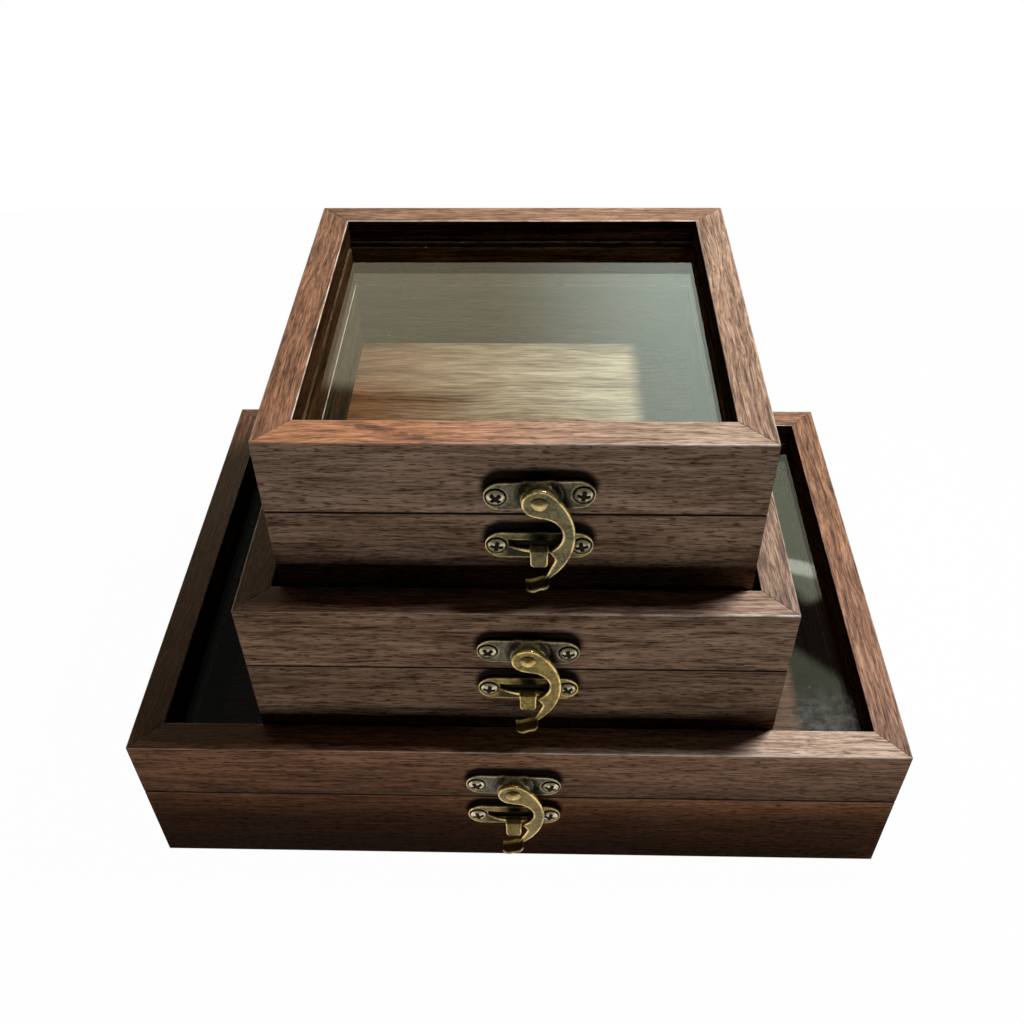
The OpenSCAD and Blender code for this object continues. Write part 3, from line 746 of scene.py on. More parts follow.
def board_piece(case, group, side, material, seed):
    profile = tray_profile(case) if group == "tray" else lid_profile(case)
    base = case.base if group == "tray" else case.lid_base
    outline = [(v, z) for v, z, _ in profile]
    drawn_in = inset(outline, MITRE_EASE)
    half_way = inset(outline, MITRE_EASE * 0.3)
    count = len(outline)
    half = case.length(side) / 2 - MITRE_GAP
    rings = [(drawn_in, -1.0, 0.0), (half_way, -1.0, MITRE_EASE * 0.7)]
    for k in range(BOARD_STATIONS + 1):
        rings.append((outline, 2 * k / BOARD_STATIONS - 1, MITRE_EASE * 1.3))
    rings += [(half_way, 1.0, MITRE_EASE * 0.7), (drawn_in, 1.0, 0.0)]
    place = case.place(side, base)
    points, along = [], []
    for ring, share, back in rings:
        for v, z in ring:
            x = share * (half - v - back)
            along.append((x, x / half))
            points.append(tuple(place @ Vector((x, v, z))))
    faces, corners = [], []
    around = [0.0]
    for i in range(count):
        a, b = outline[i], outline[(i + 1) % count]
        around.append(around[-1] + math.hypot(b[0] - a[0], b[1] - a[1]))
    for r in range(len(rings) - 1):
        for i in range(count):
            j = (i + 1) % count
            faces.append(
                (r * count + i, (r + 1) * count + i, (r + 1) * count + j, r * count + j)
            )
            corners.append((i, i, i + 1, i + 1))
    faces.append(tuple(range(count)))
    corners.append(tuple(range(count)))
    last = (len(rings) - 1) * count
    faces.append(tuple(last + i for i in reversed(range(count))))
    corners.append(tuple(reversed(range(count))))
    name = f"{case.name}_{group}_{SIDES[side]}"
    piece = new_piece(
        name + "_board", points, faces, f"{case.name}_{group}_body",
        [name], material, smooth_deg=40,
    )
    height = max(z for _, z in outline)
    grain, tone, shade = [], [], []
    for polygon in piece.data.polygons:
        ids = corners[polygon.index]
        i, j = ids[0], ids[2] % count
        middle_z = (outline[i][1] + outline[j][1]) / 2
        middle_v = (outline[i][0] + outline[j][0]) / 2
        end_cap = len(ids) > 4
        top = 1.0 if not end_cap and middle_z > height - 0.75 else 0.0
        inside = 1.0 if middle_v > case.board - 0.4 and top == 0 else 0.0
        # Painted shade in the lid's recess, weaker on the boards that face the lamp
        recess = inside if group == "lid" and middle_z > case.glass[1] - 1 else 0.0
        recess *= RECESS_SHADE_SHARE[side]
        for loop, i in zip(polygon.loop_indices, ids):
            vertex = piece.data.loops[loop].vertex_index
            x, share = along[vertex]
            grain.append((x, around[i], seed))
            wear = 0.25 if end_cap else profile[i % count][2]
            wear = edge_wear(case, group, side, share, wear)
            edge = wear if is_eased(profile, i % count) else 0.0
            outside = top == 0 and inside == 0
            warm, pale = board_finish(case, group, side, share, top, outside)
            tone.append((warm, min(edge, 1.0), top))
            shade.append((inside, pale, recess))
    for key, values in (("grain", grain), ("tone", tone), ("shade", shade)):
        set_attribute(piece, key, "CORNER", values)


def is_eased(profile, i):
    """True if this point lies inside an eased corner, away from both flats."""
    near = [profile[(i + k) % len(profile)] for k in (-1, 0, 1)]
    steps = [math.hypot(b[0] - a[0], b[1] - a[1]) for a, b in zip(near, near[1:])]
    return max(steps) < 0.7


# Hardware, in the plate's own frame: x right, out from the wood, z up

SHEET = 0.8
PLATE_HALF, PLATE_R = 14.0, 4.5
SCREW_X = 10.9
BOSS_FOOT, BOSS_FRONT, BOSS_OUT = 5.8, 4.6, 2.9
BOSS_BULGE = 0.4
EASE = 0.3
HOOK_BACK, HOOK_FRONT = 3.0, 4.2
RIVET_SEAT = 4.3
LATCH_TILT = {"large": -1.8, "medium": -1.3, "small": 2.5}


def smooth(value, low=0.0, high=1.0):
    t = max(0.0, min(1.0, (value - low) / (high - low)))
    return t * t * (3 - 2 * t)


def ease_drop(distance, radius):
    """How far a rounded edge has fallen at this distance from the edge."""
    if distance >= radius:
        return 0.0
    return radius - math.sqrt(radius**2 - (radius - distance) ** 2)


STRAIGHT = PLATE_HALF - PLATE_R
PLATE_XS = sorted(
    {round(-STRAIGHT + 2 * STRAIGHT * k / 72, 3) for k in range(73)} | {-7.9, -7.88, 7.88, 7.9}
)
CAP_STEPS = 36
PLATE_DEPTHS = [0, 0.03, 0.08, 0.15, 0.24, 0.34, 0.5, 0.8, 1.1, 1.4, 1.7, 2.0, 2.28, 2.3]
PLATE_DEPTHS += [2.55, 2.8, 3.1, 3.4, 3.58, 3.6, 3.9, 4.2, 4.35, 4.5]


def stadium_columns():
    """(middle x, direction) all round a plate, clockwise from the top left, seen from the front."""
    columns = []
    for sign, xs in ((1, PLATE_XS), (-1, PLATE_XS[::-1])):
        columns += [(x, (0.0, sign)) for x in xs]
        for k in range(1, CAP_STEPS):
            angle = math.pi / 2 * sign - math.pi * k / CAP_STEPS
            columns.append((sign * STRAIGHT, (math.cos(angle), math.sin(angle))))
    return columns


def plate_build(height, half_height):
    """A pressed plate: height(x, z, depth) gives (out, edge, hollow), half_height(x) its edge."""
    build = Build()
    columns = stadium_columns()
    count = len(columns)
    points, relief = [], []
    for x, (dx, dz) in columns:
        reach = half_height(x)
        points.append((x + dx * reach, 0.0, dz * reach))
        relief.append((0.2, 0.0))
    ring = build.add(points, relief)
    for depth in PLATE_DEPTHS:
        points, relief = [], []
        for x, (dx, dz) in columns:
            reach = half_height(x) * (1 - depth / PLATE_R)
            px, pz = x + dx * reach, dz * reach
            out, edge, hollow = height(px, pz, depth)
            points.append((px, -out, pz))
            relief.append((edge, hollow))
        following = build.add(points, relief)
        build.strip(ring, following, count)
        ring = following
    build.face(tuple(range(count)))
    return build


def screw_seat(x, z):
    """(drop, edge, hollow) of the dished ring round a screw."""
    r = min(math.hypot(x - side * SCREW_X, z) for side in (-1, 1))
    dish = smooth(3.05 - r, 0.0, 0.5)
    rim = smooth(3.3 - r, 0, 0.2) * smooth(r, 2.85, 3.05)
    return 0.30 * dish, 0.45 * rim, 0.85 * smooth(2.95 - r, 0.0, 0.4)


def latch_plate_height(x, z, depth):
    r = math.hypot(x, z)
    drop, rim, hollow = screw_seat(x, z)
    boss = smooth(BOSS_FOOT - r, 0.0, BOSS_FOOT - BOSS_FRONT)
    crease = smooth(1 - abs(r - BOSS_FOOT - 0.25) / 0.5)
    boss *= 0.15 + 0.85 * smooth(depth, 0.0, 1.4)
    out = SHEET + (BOSS_OUT - SHEET) * boss - drop - 0.10 * crease
    out -= ease_drop(depth, EASE)
    edge = smooth(0.55 - depth, 0.0, 0.35)
    shoulder = smooth(1 - abs(r - BOSS_FRONT) / 0.35)
    return out, max(edge, rim, 0.65 * shoulder), max(hollow, 0.45 * crease)


def latch_plate_outline(x):
    return PLATE_R + BOSS_BULGE * smooth(4.6 - abs(x), 0.0, 1.6)


WINDOW_X, WINDOW_LOW, WINDOW_HIGH = 7.89, -0.91, 2.21


def catch_plate_height(x, z, depth):
    drop, rim, hollow = screw_seat(x, z)
    edge = smooth(0.55 - depth, 0.0, 0.35)
    # Painted shade: the window under the bridge is a flat sheet near the wood, painted near black
    if abs(x) < WINDOW_X and WINDOW_LOW < z < WINDOW_HIGH:
        return 0.05, 0.0, 0.95
    lip = 0.22 * smooth(WINDOW_HIGH + 1.2 - z, 0, 1) * smooth(z, 1.0, 2.0)
    lip *= smooth(WINDOW_X + 0.6 - abs(x), 0.0, 3.0)
    near = min(abs(z - WINDOW_HIGH), 9 if abs(x) > WINDOW_X else 0.5)
    sill = smooth(0.4 - near, 0, 0.3) if abs(x) < WINDOW_X else 0.0
    out = SHEET + lip - drop - ease_drop(depth, EASE)
    # Painted shadow of the hook and tongue: the middle is darkened above and below, and its top edge dimmed
    middle = smooth(9.5 - abs(x), 0.0, 2.0)
    edge *= 1 - 0.6 * middle * smooth(z, 0.0, 1.0)
    below = 0.70 * middle * smooth(-z, 0.2, 1.2) * smooth(depth, 0.5, 0.9)
    above = 0.45 * smooth(5.5 - abs(x), 0.0, 4.0) * smooth(z, 0.0, 1.0)
    return out, max(edge, rim, 0.25 * sill), max(hollow, below, above)


def plain_outline(_):
    return PLATE_R


def box_section(corner, steps=3):
    """A rounded box section: rows of (sign u, sign w, arc u, arc w, edge)."""
    rows = []
    for k, (su, sw) in enumerate(((1, 1), (-1, 1), (-1, -1), (1, -1))):
        for i in range(steps + 1):
            angle = math.pi / 2 * (k + i / steps)
            rows.append((su, sw, math.cos(angle) * corner, math.sin(angle) * corner, 1.0))
        nu, nw = ((-1, 0), (0, -1), (1, 0), (0, 1))[k]
        rows.append((su, sw, *flat_step(su, sw, nu, nw, corner), 0.0))
        after = ((-1, 1), (-1, -1), (1, -1), (1, 1))[k]
        rows.append((*after, *flat_step(*after, -nu, -nw, corner), 0.0))
    return rows


def flat_step(su, sw, nu, nw, corner):
    """Where a flat's first point lies from the middle of its corner's arc."""
    along = 1.2 * corner
    if nu:
        return nu * along, sw * corner
    return su * corner, nw * along


def sweep(build, stations, corner, shine=0.0):
    """Stations (origin, axis u, axis w, half u, half w) joined by a rounded box section."""
    section = box_section(corner)
    rings = []
    for origin, axis_u, axis_w, half_u, half_w in stations:
        points, relief = [], []
        for su, sw, au, aw, edge in section:
            u = su * max(half_u - corner, 0.01) + au
            w = sw * max(half_w - corner, 0.01) + aw
            points.append(tuple(origin + axis_u * u + axis_w * w))
            relief.append((max(edge, shine), 0.0))
        rings.append(build.add(points, relief))
    build.tube(rings, len(section))


def lathe(build, profile, segments=48):
    """Turns (radius, out, edge, hollow) rows about the outward axis."""
    rings = []
    for radius, out, edge, hollow in profile:
        rings.append(build.add(circle(radius, out, segments), [(edge, hollow)] * segments))
    build.tube(rings, segments)


SCREW_R, SCREW_DOME, SCREW_SEAT = 2.3, 1.0, SHEET + 0.10
CROSS_HALF_W, CROSS_HALF_L, CROSS_DEEP = 0.54, 1.66, 0.62
RIVET_R, RIVET_DOME = 2.25, 1.0


def dome_height(radius, head_r, dome):
    """How far a domed head stands out at this radius."""
    ball = (head_r**2 + dome**2) / (2 * dome)
    return math.sqrt(ball**2 - radius**2) - (ball - dome)


def screw_build(fineness, turn):
    """A round-head wood screw with a cross recess, its head on the sheet."""
    build = Build()
    segments, rings = 24 * fineness, 9 * fineness
    shank = [(0.06, -6.2), (1.0, -4.7), (1.0, SHEET), (SCREW_R - 0.12, SHEET)]
    shank += [(SCREW_R, SCREW_SEAT)]
    previous = None
    for radius, out in shank:
        ring = build.add(circle(radius, out, segments), [(0.6, 0.0)] * segments)
        if previous is None:
            build.face(tuple(ring + i for i in range(segments)), flip=True)
        else:
            build.strip(previous, ring, segments)
        previous = ring
    for step in range(1, rings):
        radius = SCREW_R * (1 - step / rings)
        dome = dome_height(radius, SCREW_R, SCREW_DOME)
        points, relief = [], []
        for x, _, z in circle(radius, 0.0, segments):
            a = abs(x * math.cos(turn) + z * math.sin(turn))
            b = abs(z * math.cos(turn) - x * math.sin(turn))
            arms = min(
                max(a - CROSS_HALF_W, b - CROSS_HALF_L), max(b - CROSS_HALF_W, a - CROSS_HALF_L)
            )
            cut = smooth(-arms, -0.05, 0.09)
            points.append((x, -(SCREW_SEAT + dome * 0.9 - CROSS_DEEP * cut), z))
            relief.append((0.75 * (1 - cut) * smooth(radius, 0.9, 2.1), 0.97 * cut))
        ring = build.add(points, relief)
        build.strip(previous, ring, segments)
        previous = ring
    deepest = -(SCREW_SEAT + SCREW_DOME * 0.9 - CROSS_DEEP)
    middle = build.add([(0.0, deepest, 0.0)], [(0, 0.97)])
    for k in range(segments):
        build.face((previous + k, previous + (k + 1) % segments, middle))
    return build


def rivet_build():
    build = Build()
    rows = [(1.99, 1.5, 0, 0), (1.99, 2.05, 0, 0), (1.2, 2.1, 0, 0), (1.2, RIVET_SEAT, 0, 0.8)]
    rows += [(RIVET_R - 0.1, RIVET_SEAT, 0, 0.8), (RIVET_R, RIVET_SEAT + 0.08, 0.3, 0.3)]
    for step in range(1, 14):
        r = RIVET_R * (1 - step / 14)
        out = RIVET_SEAT + 0.06 + dome_height(r, RIVET_R, RIVET_DOME) * 0.93
        rows.append((r, out, 0.35 + 0.4 * (1 - r / RIVET_R), 0.0))
    lathe(build, rows)
    return build


def arc(centre, radius, start, end, steps):
    """Points on an arc, angles in degrees, both ends included."""
    found = []
    for k in range(steps + 1):
        angle = math.radians(start + (end - start) * k / steps)
        found.append((centre[0] + radius * math.cos(angle), centre[1] + radius * math.sin(angle)))
    return found


EYE_R, MOUTH_R, MOUTH_Z = 4.5, 5.9, -10.6
BOW = (-11.1, -11.2)
BOW_R = math.hypot(*BOW) + EYE_R
TOOTH, NOTCH, FOOT_IN = (2.5, -16.1), (4.0, -19.1), (1.2, -26.8)
HOOK_EASE = 0.34


def hook_outline():
    """The hook from the front, clockwise, about the rivet."""
    tangent = math.degrees(math.atan2(-BOW[1], -BOW[0]))
    foot = math.degrees(math.atan2(-27.05 - BOW[1], 1.50 - BOW[0]))
    outline = arc(BOW, BOW_R, tangent, foot, 44)
    outline += [FOOT_IN, (2.75, -22.6), (3.75, -20.1), NOTCH, (3.85, -18.45), TOOTH]
    outline += arc((0, MOUTH_Z), MOUTH_R, -65.7, 90, 40)
    outline += arc((0, 0), EYE_R, 270, tangent + 3, 44)[1:]
    return outline


def outward_shape(build, outline, hole, back, front, ease):
    """The rings of a flat shape between two distances from the wood, with eased edges."""
    levels = [(back, 2.2, 0.0), (back, 1, 0.5), (back + 0.3 * ease, 0.3, 0.8)]
    levels += [(back + ease, 0.0, 0.7), (front - ease, 0.0, 0.9)]
    levels += [(front - 0.62 * ease, 0.08, 1.0), (front - 0.3 * ease, 0.3, 1.0)]
    levels += [(front - 0.08 * ease, 0.62, 1.0), (front, 1, 0.9), (front, 2.2, 0.0)]
    for shape, sign in ((outline, 1), (hole, -1)):
        rings = []
        for out, share, edge in levels:
            ring = [(x, -out, z) for x, z in inset(shape, sign * share * ease)]
            rings.append(build.add(ring, [(edge, 0.0)] * len(shape)))
        for a, b in zip(rings, rings[1:]):
            build.strip(*((b, a) if sign > 0 else (a, b)), len(shape))


def hook_build():
    build = Build()
    outline = hook_outline()
    hole = arc((0, 0), 1.25, 0, 360 - 7.5, 47)
    outward_shape(build, outline, hole, HOOK_BACK, HOOK_FRONT, HOOK_EASE)
    count, holes = len(outline), len(hole)
    back, front = (0, 10 * count), (9 * count, 10 * count + 9 * holes)
    for (outer, inner), flip in ((back, False), (front, True)):
        ids = [outer + i for i in range(count)] + [inner + i for i in range(holes)]
        flat = [Vector((build.points[i][0], build.points[i][2], 0)) for i in ids]
        for a, b, c in tessellate_polygon([flat[:count], flat[count:]]):
            pa, pb, pc = (build.points[ids[k]] for k in (a, b, c))
            area = (pb[0] - pa[0]) * (pc[2] - pa[2]) - (pc[0] - pa[0]) * (pb[2] - pa[2])
            build.face((ids[a], ids[b], ids[c]), flip=(area > 0) != flip)
    return build


FINGER_TIP = 6.7


def finger_lift(out):
    """The tab curls up into the hook's foot."""
    return 0.6 * (max(0.0, 4.1 - out) / 1.1) ** 2


def finger_build():
    """The finger tab at the hook's foot: a tongue bent forward, with a gentle S across."""
    build = Build()
    middle_x, middle_z, slope = -0.3, -27.6, math.radians(12)
    half_w, half_t, corner = 3.2, 0.6, 1.6
    outs = [3.0, 3.1, 3.22, 3.36, 3.52, 3.7, 3.9, 4.1, 4.5, 5.0, 5.4]
    outs += [FINGER_TIP - k for k in (1.0, 0.75, 0.5, 0.3, 0.14, 0.0)]
    columns = 20
    rows = []
    for out in outs:
        from_tip = FINGER_TIP - out
        narrowed = half_w
        if from_tip < corner:
            narrowed -= corner - math.sqrt(max(corner**2 - (corner - from_tip) ** 2, 0.0))
        rows.append((out, max(narrowed, 0.4)))
    shells = []
    for sign in (1, -1):
        rings = []
        for out, reach in rows:
            points, relief = [], []
            for k in range(columns + 1):
                share = 2 * k / columns - 1
                x = share * reach
                rim = min(reach - abs(x), FINGER_TIP - out)
                thick = half_t - ease_drop(min(rim, 0.3), 0.3)
                bend = 0.28 * math.sin(share * math.pi * 0.9)
                lift = x * math.tan(slope) + bend + finger_lift(out)
                points.append((middle_x + x, -out, middle_z + lift + sign * thick))
                # Painted highlight: the top of the fold into the hook's foot is painted bright
                fold = smooth(3.95 - out, 0.0, 0.5) if sign > 0 else 0.0
                relief.append((max(0.30 * smooth(0.5 - rim, 0, 0.4), fold), 0.0))
            rings.append(build.add(points, relief))
        shells.append(rings)
    for sign, rings in zip((1, -1), shells):
        for a, b in zip(rings, rings[1:]):
            for k in range(columns):
                build.face((a + k, a + k + 1, b + k + 1, b + k), flip=sign > 0)
    top, low = shells
    for a, b, c, d in zip(top, top[1:], low, low[1:]):
        for k, flip in ((0, True), (columns, False)):
            build.face((a + k, b + k, d + k, c + k), flip)
    for a, b, flip in ((top[0], low[0], False), (top[-1], low[-1], True)):
        for k in range(columns):
            build.face((a + k, b + k, b + k + 1, a + k + 1), flip)
    return build


def bridge_build():
    """The catch plate's bowed bridge: narrow at its ends, widest at the tongue."""
    build = Build()
    half, rise = 7.9, 2.0
    radius = (half**2 + rise**2) / (2 * rise)
    stations = []
    limit = math.asin((half + 0.5) / radius)
    for k in range(33):
        angle = limit * (2 * k / 32 - 1)
        x = radius * math.sin(angle)
        out = rise - radius * (1 - math.cos(angle)) + SHEET / 2
        tall = 0.65 - 0.22 * smooth(abs(x), 1.0, 7.5)
        low = -0.25 - 0.10 * smooth(abs(x), 2.0, 7.5)
        across = Vector((math.sin(angle), -math.cos(angle), 0))
        origin = Vector((x, -out, low))
        stations.append((origin, Vector((0, 0, 1)), across, tall, SHEET / 2))
    sweep(build, stations, corner=0.3, shine=0.7)
    return build


def tongue_build():
    """The folded tongue: up from the bridge, over, and down to a rounded tip."""
    build = Build()
    root, tip = Vector((2.4, -0.4)), Vector((6.1, -2.2))
    fold, radius = Vector(((root.x + tip.x) / 2, 2.0)), 1.0
    up, down = fold - root, fold - tip
    rise = math.atan2(up.y, up.x) + math.asin(radius / up.length) + math.pi / 2
    fall = math.atan2(down.y, down.x) - math.asin(radius / down.length) - math.pi / 2
    line = [root, root + (fold_point(fold, radius, rise) - root) * 0.5]
    line += [fold_point(fold, radius, rise + (fall - rise) * k / 14) for k in range(15)]
    last = line[-1]
    tip_end = tip + (tip - last).normalized() * 0.1
    length = (tip_end - last).length
    for share in (0.3, 0.5, 0.62, 0.72, 0.80, 0.87, 0.93, 0.97, 1.0):
        line.append(last + (tip_end - last) * share)
    stations = []
    for i, p in enumerate(line):
        before, after = line[max(i - 1, 0)], line[min(i + 1, len(line) - 1)]
        forward = (after - before).normalized()
        across = Vector((0, -forward.y, -forward.x))
        left = length * (1 - ((p - last).length / length if i > 16 else 0))
        half = 2.25 + 0.12 * smooth(p.y, 0.5, 2.5)
        if i > 16 and left < 1.2:
            half -= 1.2 - math.sqrt(max(1.2**2 - (1.2 - left) ** 2, 0.0))
        thin = 0.4 - ease_drop(min(left, 0.25), 0.25) if i > 16 else 0.4
        stations.append((Vector((0, -p.x, p.y)), Vector((-1, 0, 0)), across, half, thin))
    sweep(build, stations, corner=0.2)
    return build


def fold_point(fold, radius, angle):
    return fold + Vector((math.cos(angle), math.sin(angle))) * radius


def on_front(case, middle, tilt=0.0):
    """From a plate's own frame to the model's, in mm."""
    place = Matrix.Translation((middle[0], case.front, middle[1]))
    return place @ Matrix.Rotation(math.radians(-tilt), 4, "Y")


SCREW_TURNS = {
    "large": (32, -18, 12, -12),
    "medium": (40, 12, -10, 30),
    "small": (40, -10, -8, 12),
}
HINGE_SCREW_X, HINGE_SCREW_Z = 6.4, 5.9


def hinge_places(case):
    """Frames of both hinges on the back, the wood behind the local front."""
    z = (case.tray_top + case.lid_base) / 2
    low, high = box_mm(f"{case.name}_hinge_pins")
    half = 10.0
    for x in (low.x + half, high.x - half):
        yield Matrix.Translation((x, case.back, z)) @ Matrix.Rotation(math.pi, 4, "Z")


def screw_set(case, group, plate, turns, up, material):
    build = Build()
    for side, turn in zip((-1, 1), turns):
        screw = screw_build(4, math.radians(turn))
        build.merge(screw, plate @ Matrix.Translation((side * SCREW_X, 0, 0)))
    for k, place in enumerate(hinge_places(case)):
        for side in (-1, 1):
            screw = screw_build(2, math.radians(17 + 31 * k + 23 * side + 11 * up))
            spot = Matrix.Translation((side * HINGE_SCREW_X, 0, up * HINGE_SCREW_Z))
            build.merge(screw, place @ spot)
    node = f"{case.name}_{group}_screws"
    body = f"{case.name}_{group}_body"
    hardware(node + "_set", build, body, [node], material, 60)


def make_hardware(case, old, bright, pale):
    """One case's latch and the screws of its latch and its hinges."""
    latch = on_front(case, (case.rivet.x, case.rivet.z), LATCH_TILT[case.name])
    upright = on_front(case, (case.rivet.x, case.rivet.z))
    catch = on_front(case, case.catch)
    plate = plate_build(latch_plate_height, latch_plate_outline)
    caught = plate_build(catch_plate_height, plain_outline)
    for look, node, group, slot, material, build in (
        ("latch_plate_pressed", "latch_plate", "lid", "old_brass", old, placed(latch, plate)),
        ("rivet_domed", "latch_rivet", "lid", "pale_brass", bright, placed(upright, rivet_build())),
        ("hook_forged", "hook", "hook", "old_brass", bright,
         placed(upright, hook_build(), finger_build())),
        ("catch_pressed", "catch", "tray", "old_brass", bright,
         placed(catch, caught, bridge_build(), tongue_build())),
    ):
        body = f"{case.name}_{group}_body"
        node = f"{case.name}_{node}"
        hardware(f"{case.name}_{look}", build, body, [node], material)
    turns = SCREW_TURNS[case.name]
    screw_set(case, "lid", latch, turns[:2], 1, pale)
    screw_set(case, "tray", catch, turns[2:], -1, pale)


def keep_node(name, material, ease=0.0):
    """A CAD node that stays, with its own finish and slightly eased edges."""
    node = frame["nodes"][name]
    node.data.materials.clear()
    node.data.materials.append(material)
    if ease:
        weld = node.modifiers.new("weld", "WELD")
        weld.merge_threshold = 0.001 * MM
        bevel = node.modifiers.new("ease", "BEVEL")
        bevel.width, bevel.segments = ease * MM, 2
        bevel.limit_method, bevel.angle_limit = "ANGLE", math.radians(40)
        normals = node.modifiers.new("normals", "WEIGHTED_NORMAL")
        normals.keep_sharp = True


def make_cases():
    old, bright, golden, pale = (brass_material(name, *look) for name, look in BRASSES.items())
    panel, pane = panel_material(), glass_material()
    inner_film = film_material()
    seed = 0
    for name in CASES:
        case = Case(name)
        fronts = {
            "lid": film_material(f"{name}_lid", (case.rivet.x, case.rivet.z)),
            "tray": film_material(f"{name}_tray", case.catch),
        }
        for group in ("tray", "lid"):
            for side in range(4):
                material = fronts[group] if side == 0 else inner_film
                board_piece(case, group, side, material, seed * 7.3)
                seed += 1
        keep_node(f"{name}_tray_floor", panel, 0.15)
        keep_node(f"{name}_glass", pane)
        for node in ("tray_hinge_leaves", "lid_hinge_leaves"):
            keep_node(f"{name}_{node}", bright, 0.12)
        keep_node(f"{name}_hinge_pins", pale, 0.12)
        make_hardware(case, old, bright if name == "small" else golden, pale)


# Stage: a pale tabletop, a soft lamp above to the right, the light that the tabletop
# throws up at the fronts, and a room that the glass mirrors

FLOOR_HALF = 0.42
FLOOR_Y = -0.06
TABLE_FRONT = -60.0
SHOWN_WHITE = 0.985


def floor_material():
    material = bpy.data.materials.new("pale_tabletop")
    nodes = Nodes(material)
    mm = object_mm(nodes)
    cloud = nodes.noise(mm, 0.01, detail=2)
    tint = nodes.ramp(cloud, ((0.0, (0.80, 0.80, 0.80)), (1.0, (0.84, 0.84, 0.84))))
    shown = rays(nodes, "Camera", "Glossy", "Transmission")
    _, y, _ = nodes.split(mm)
    before = nodes.fall(y, TABLE_FRONT + 30, TABLE_FRONT + 50)
    unseen = nodes.times(before, nodes.flip(shown))
    tint = nodes.mix(unseen, tint, rgb(0.02, 0.02, 0.02))
    lit = nodes.new("BsdfDiffuse", {"Color": tint})
    white = nodes.new("Emission", {"Color": rgb(1, 1, 1), "Strength": 1.0})
    share = nodes.times(shown, SHOWN_WHITE)
    nodes.surface(nodes.new("MixShader", {0: share, 1: lit, 2: white}))
    return material


def rounded_square(half, radius, steps=10):
    ring = []
    for k, (sx, sy) in enumerate(((1, 1), (-1, 1), (-1, -1), (1, -1))):
        for i in range(steps + 1):
            angle = math.pi / 2 * (k + i / steps)
            ring.append(
                (
                    sx * (half - radius) + radius * math.cos(angle),
                    sy * (half - radius) + radius * math.sin(angle),
                    0.0,
                )
            )
    return ring


def make_floor():
    """The tabletop, which stays under whatever reaches lowest when the bodies move."""
    ring = rounded_square(FLOOR_HALF, 0.12)
    mesh = bpy.data.meshes.new("tabletop")
    mesh.from_pydata(ring, [], [tuple(range(len(ring)))])
    mesh.materials.append(floor_material())
    floor = add_object("tabletop", mesh)
    floor.location = (0, FLOOR_Y, 0)
    for body, members in RECORD["behaviour"]["bodies"].items():
        boxes = [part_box(member) for member in members]
        low = [min(b[0][i] for b in boxes) for i in range(3)]
        high = [max(b[1][i] for b in boxes) for i in range(3)]
        for k in range(8):
            corner = [(low, high)[k >> i & 1][i] for i in range(3)]
            mark = add_object(f"corner_{body}_{k}", None)
            mark.location = corner
            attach(mark, body)
            rest_on = floor.constraints.new("FLOOR")
            rest_on.target = mark
            rest_on.floor_location = "FLOOR_NEGATIVE_Z"


KEY_AT = Vector((0.178, 0.040, 0.480))
KEY_SIZE = (0.035, 0.110)
KEY_WATTS = 1.9
BOUNCE_AT = Vector((0.015, -0.165, 0.005))
BOUNCE_SIZE = (0.380, 0.076)
BOUNCE_WATTS = {"bounce_steep": (0.300, 150), "bounce_low": (0.035, 180)}


def area_lamp(name, place, size, watts, up=False, spread_deg=180):
    data = bpy.data.lights.new(name, "AREA")
    data.shape, data.energy = "RECTANGLE", watts
    data.size, data.size_y = size
    data.spread = math.radians(spread_deg)
    light = add_object(name, data)
    light.location = place
    light.rotation_euler = (math.pi if up else 0, 0, 0)
    light.visible_camera = False
    light.visible_glossy = not up


def make_lamps():
    """A soft lamp close above the nest's right half, and what the tabletop throws back up."""
    area_lamp("key", KEY_AT, KEY_SIZE, KEY_WATTS)
    for name, (watts, spread_deg) in BOUNCE_WATTS.items():
        area_lamp(name, BOUNCE_AT, BOUNCE_SIZE, watts, up=True, spread_deg=spread_deg)


# Heights are of a direction's z, and slopes say how they change with its x
WALL_EDGE, WALL_SLOPE, WALL_SLOPE_RIGHT = (0.600, 0.614), -0.15, -0.46
WALL_LEFT, WALL_RIGHT = rgb(1.32, 1.20, 0.84), rgb(2.70, 3.02, 2.65)
WALL_FAR_RIGHT, FAR_RIGHT_FROM = rgb(1.35, 1.45, 1.05), (0.17, 0.20)
CORNER_EDGE, CORNER_SLOPE = (0.842, 0.850), 0.54
ROOM_DARK, ROOM_FRONT = rgb(0.045, 0.045, 0.042), rgb(0.12, 0.12, 0.10)
BAND_AT, BAND_GLOW = (0.690, 0.693, 0.698, 0.702), rgb(4.6, 4.8, 4.0)
GLOW_EDGE, GLOW_SLOPE, GLOW = (0.684, 0.693), -0.25, rgb(0.62, 0.66, 0.48)
GLOW_ENDS, GLOW_TOP = (0.262, 0.274), (0.752, 0.80)
PLAIN_AMBIENT, REAR_AMBIENT = 0.004, 0.28


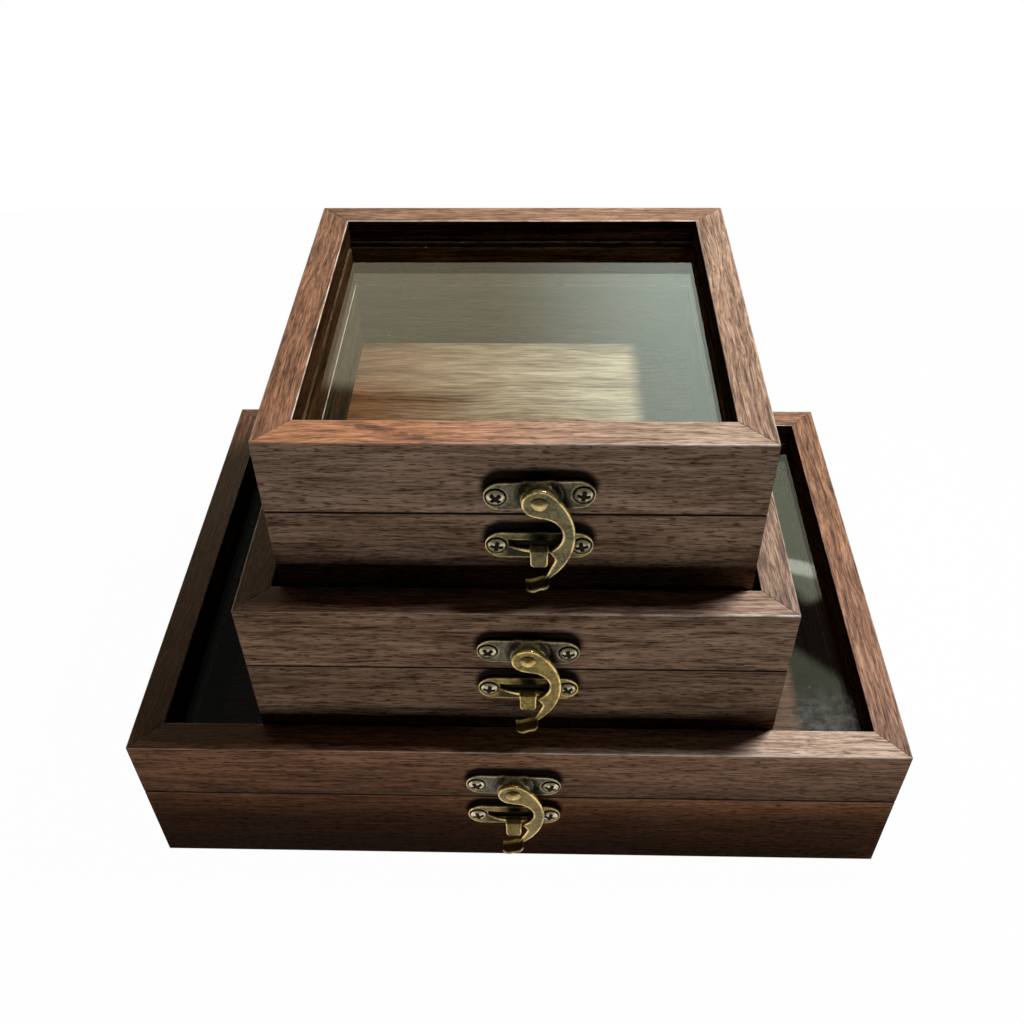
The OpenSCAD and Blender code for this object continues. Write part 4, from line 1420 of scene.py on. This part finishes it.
def make_world():
    """White behind everything; mirrors see a bright wall low behind and a dim ceiling."""
    world = bpy.data.worlds.new("room")
    bpy.context.scene.world = world
    nodes = Nodes(world)
    direction = nodes.new("TexCoord", out="Generated")
    x, y, z = nodes.split(direction)
    behind = nodes.step(y, -0.10, 0.30)
    edge = nodes.madd(x, WALL_SLOPE, z)
    right = nodes.most(nodes.minus(x, 0.08), 0.0)
    edge = nodes.madd(right, WALL_SLOPE_RIGHT, edge)
    low = nodes.fall(edge, *WALL_EDGE)
    wall = nodes.mix(nodes.step(x, -0.06, 0.13), WALL_LEFT, WALL_RIGHT)
    far_right = nodes.step(x, *FAR_RIGHT_FROM)
    wall = nodes.mix(far_right, wall, WALL_FAR_RIGHT)
    band = nodes.times(nodes.step(z, *BAND_AT[:2]), nodes.fall(z, *BAND_AT[2:]))
    wall = nodes.mix(nodes.times(band, far_right), wall, BAND_GLOW)
    corner = nodes.fall(nodes.madd(x, CORNER_SLOPE, z), *CORNER_EDGE)
    low = nodes.times(low, nodes.most(corner, nodes.flip(far_right)))
    room = nodes.mix(low, ROOM_DARK, wall)
    aslant = nodes.madd(x, GLOW_SLOPE, z)
    glow = nodes.times(nodes.step(aslant, *GLOW_EDGE), far_right)
    glow = nodes.times(glow, nodes.fall(x, *GLOW_ENDS))
    glow = nodes.times(glow, nodes.fall(z, *GLOW_TOP))
    room = nodes.mix(glow, room, GLOW)
    seen = nodes.mix(behind, ROOM_FRONT, room)
    rear = nodes.times(nodes.step(y, -0.3, 0.2), nodes.fall(z, 0.0, 0.4))
    ambient = nodes.grey(nodes.madd(rear, REAR_AMBIENT, PLAIN_AMBIENT))
    plain = nodes.mix(rays(nodes, "Glossy"), ambient, seen)
    shown = nodes.mix(rays(nodes, "Camera", "Transmission"), plain, rgb(1, 1, 1))
    background = nodes.new("Background", {"Color": shown, "Strength": 1.0})
    nodes.new("OutputWorld", {"Surface": background})


bpy.context.scene.view_settings.view_transform = "Standard"
make_camera()
make_cases()
make_floor()
make_lamps()
make_world()
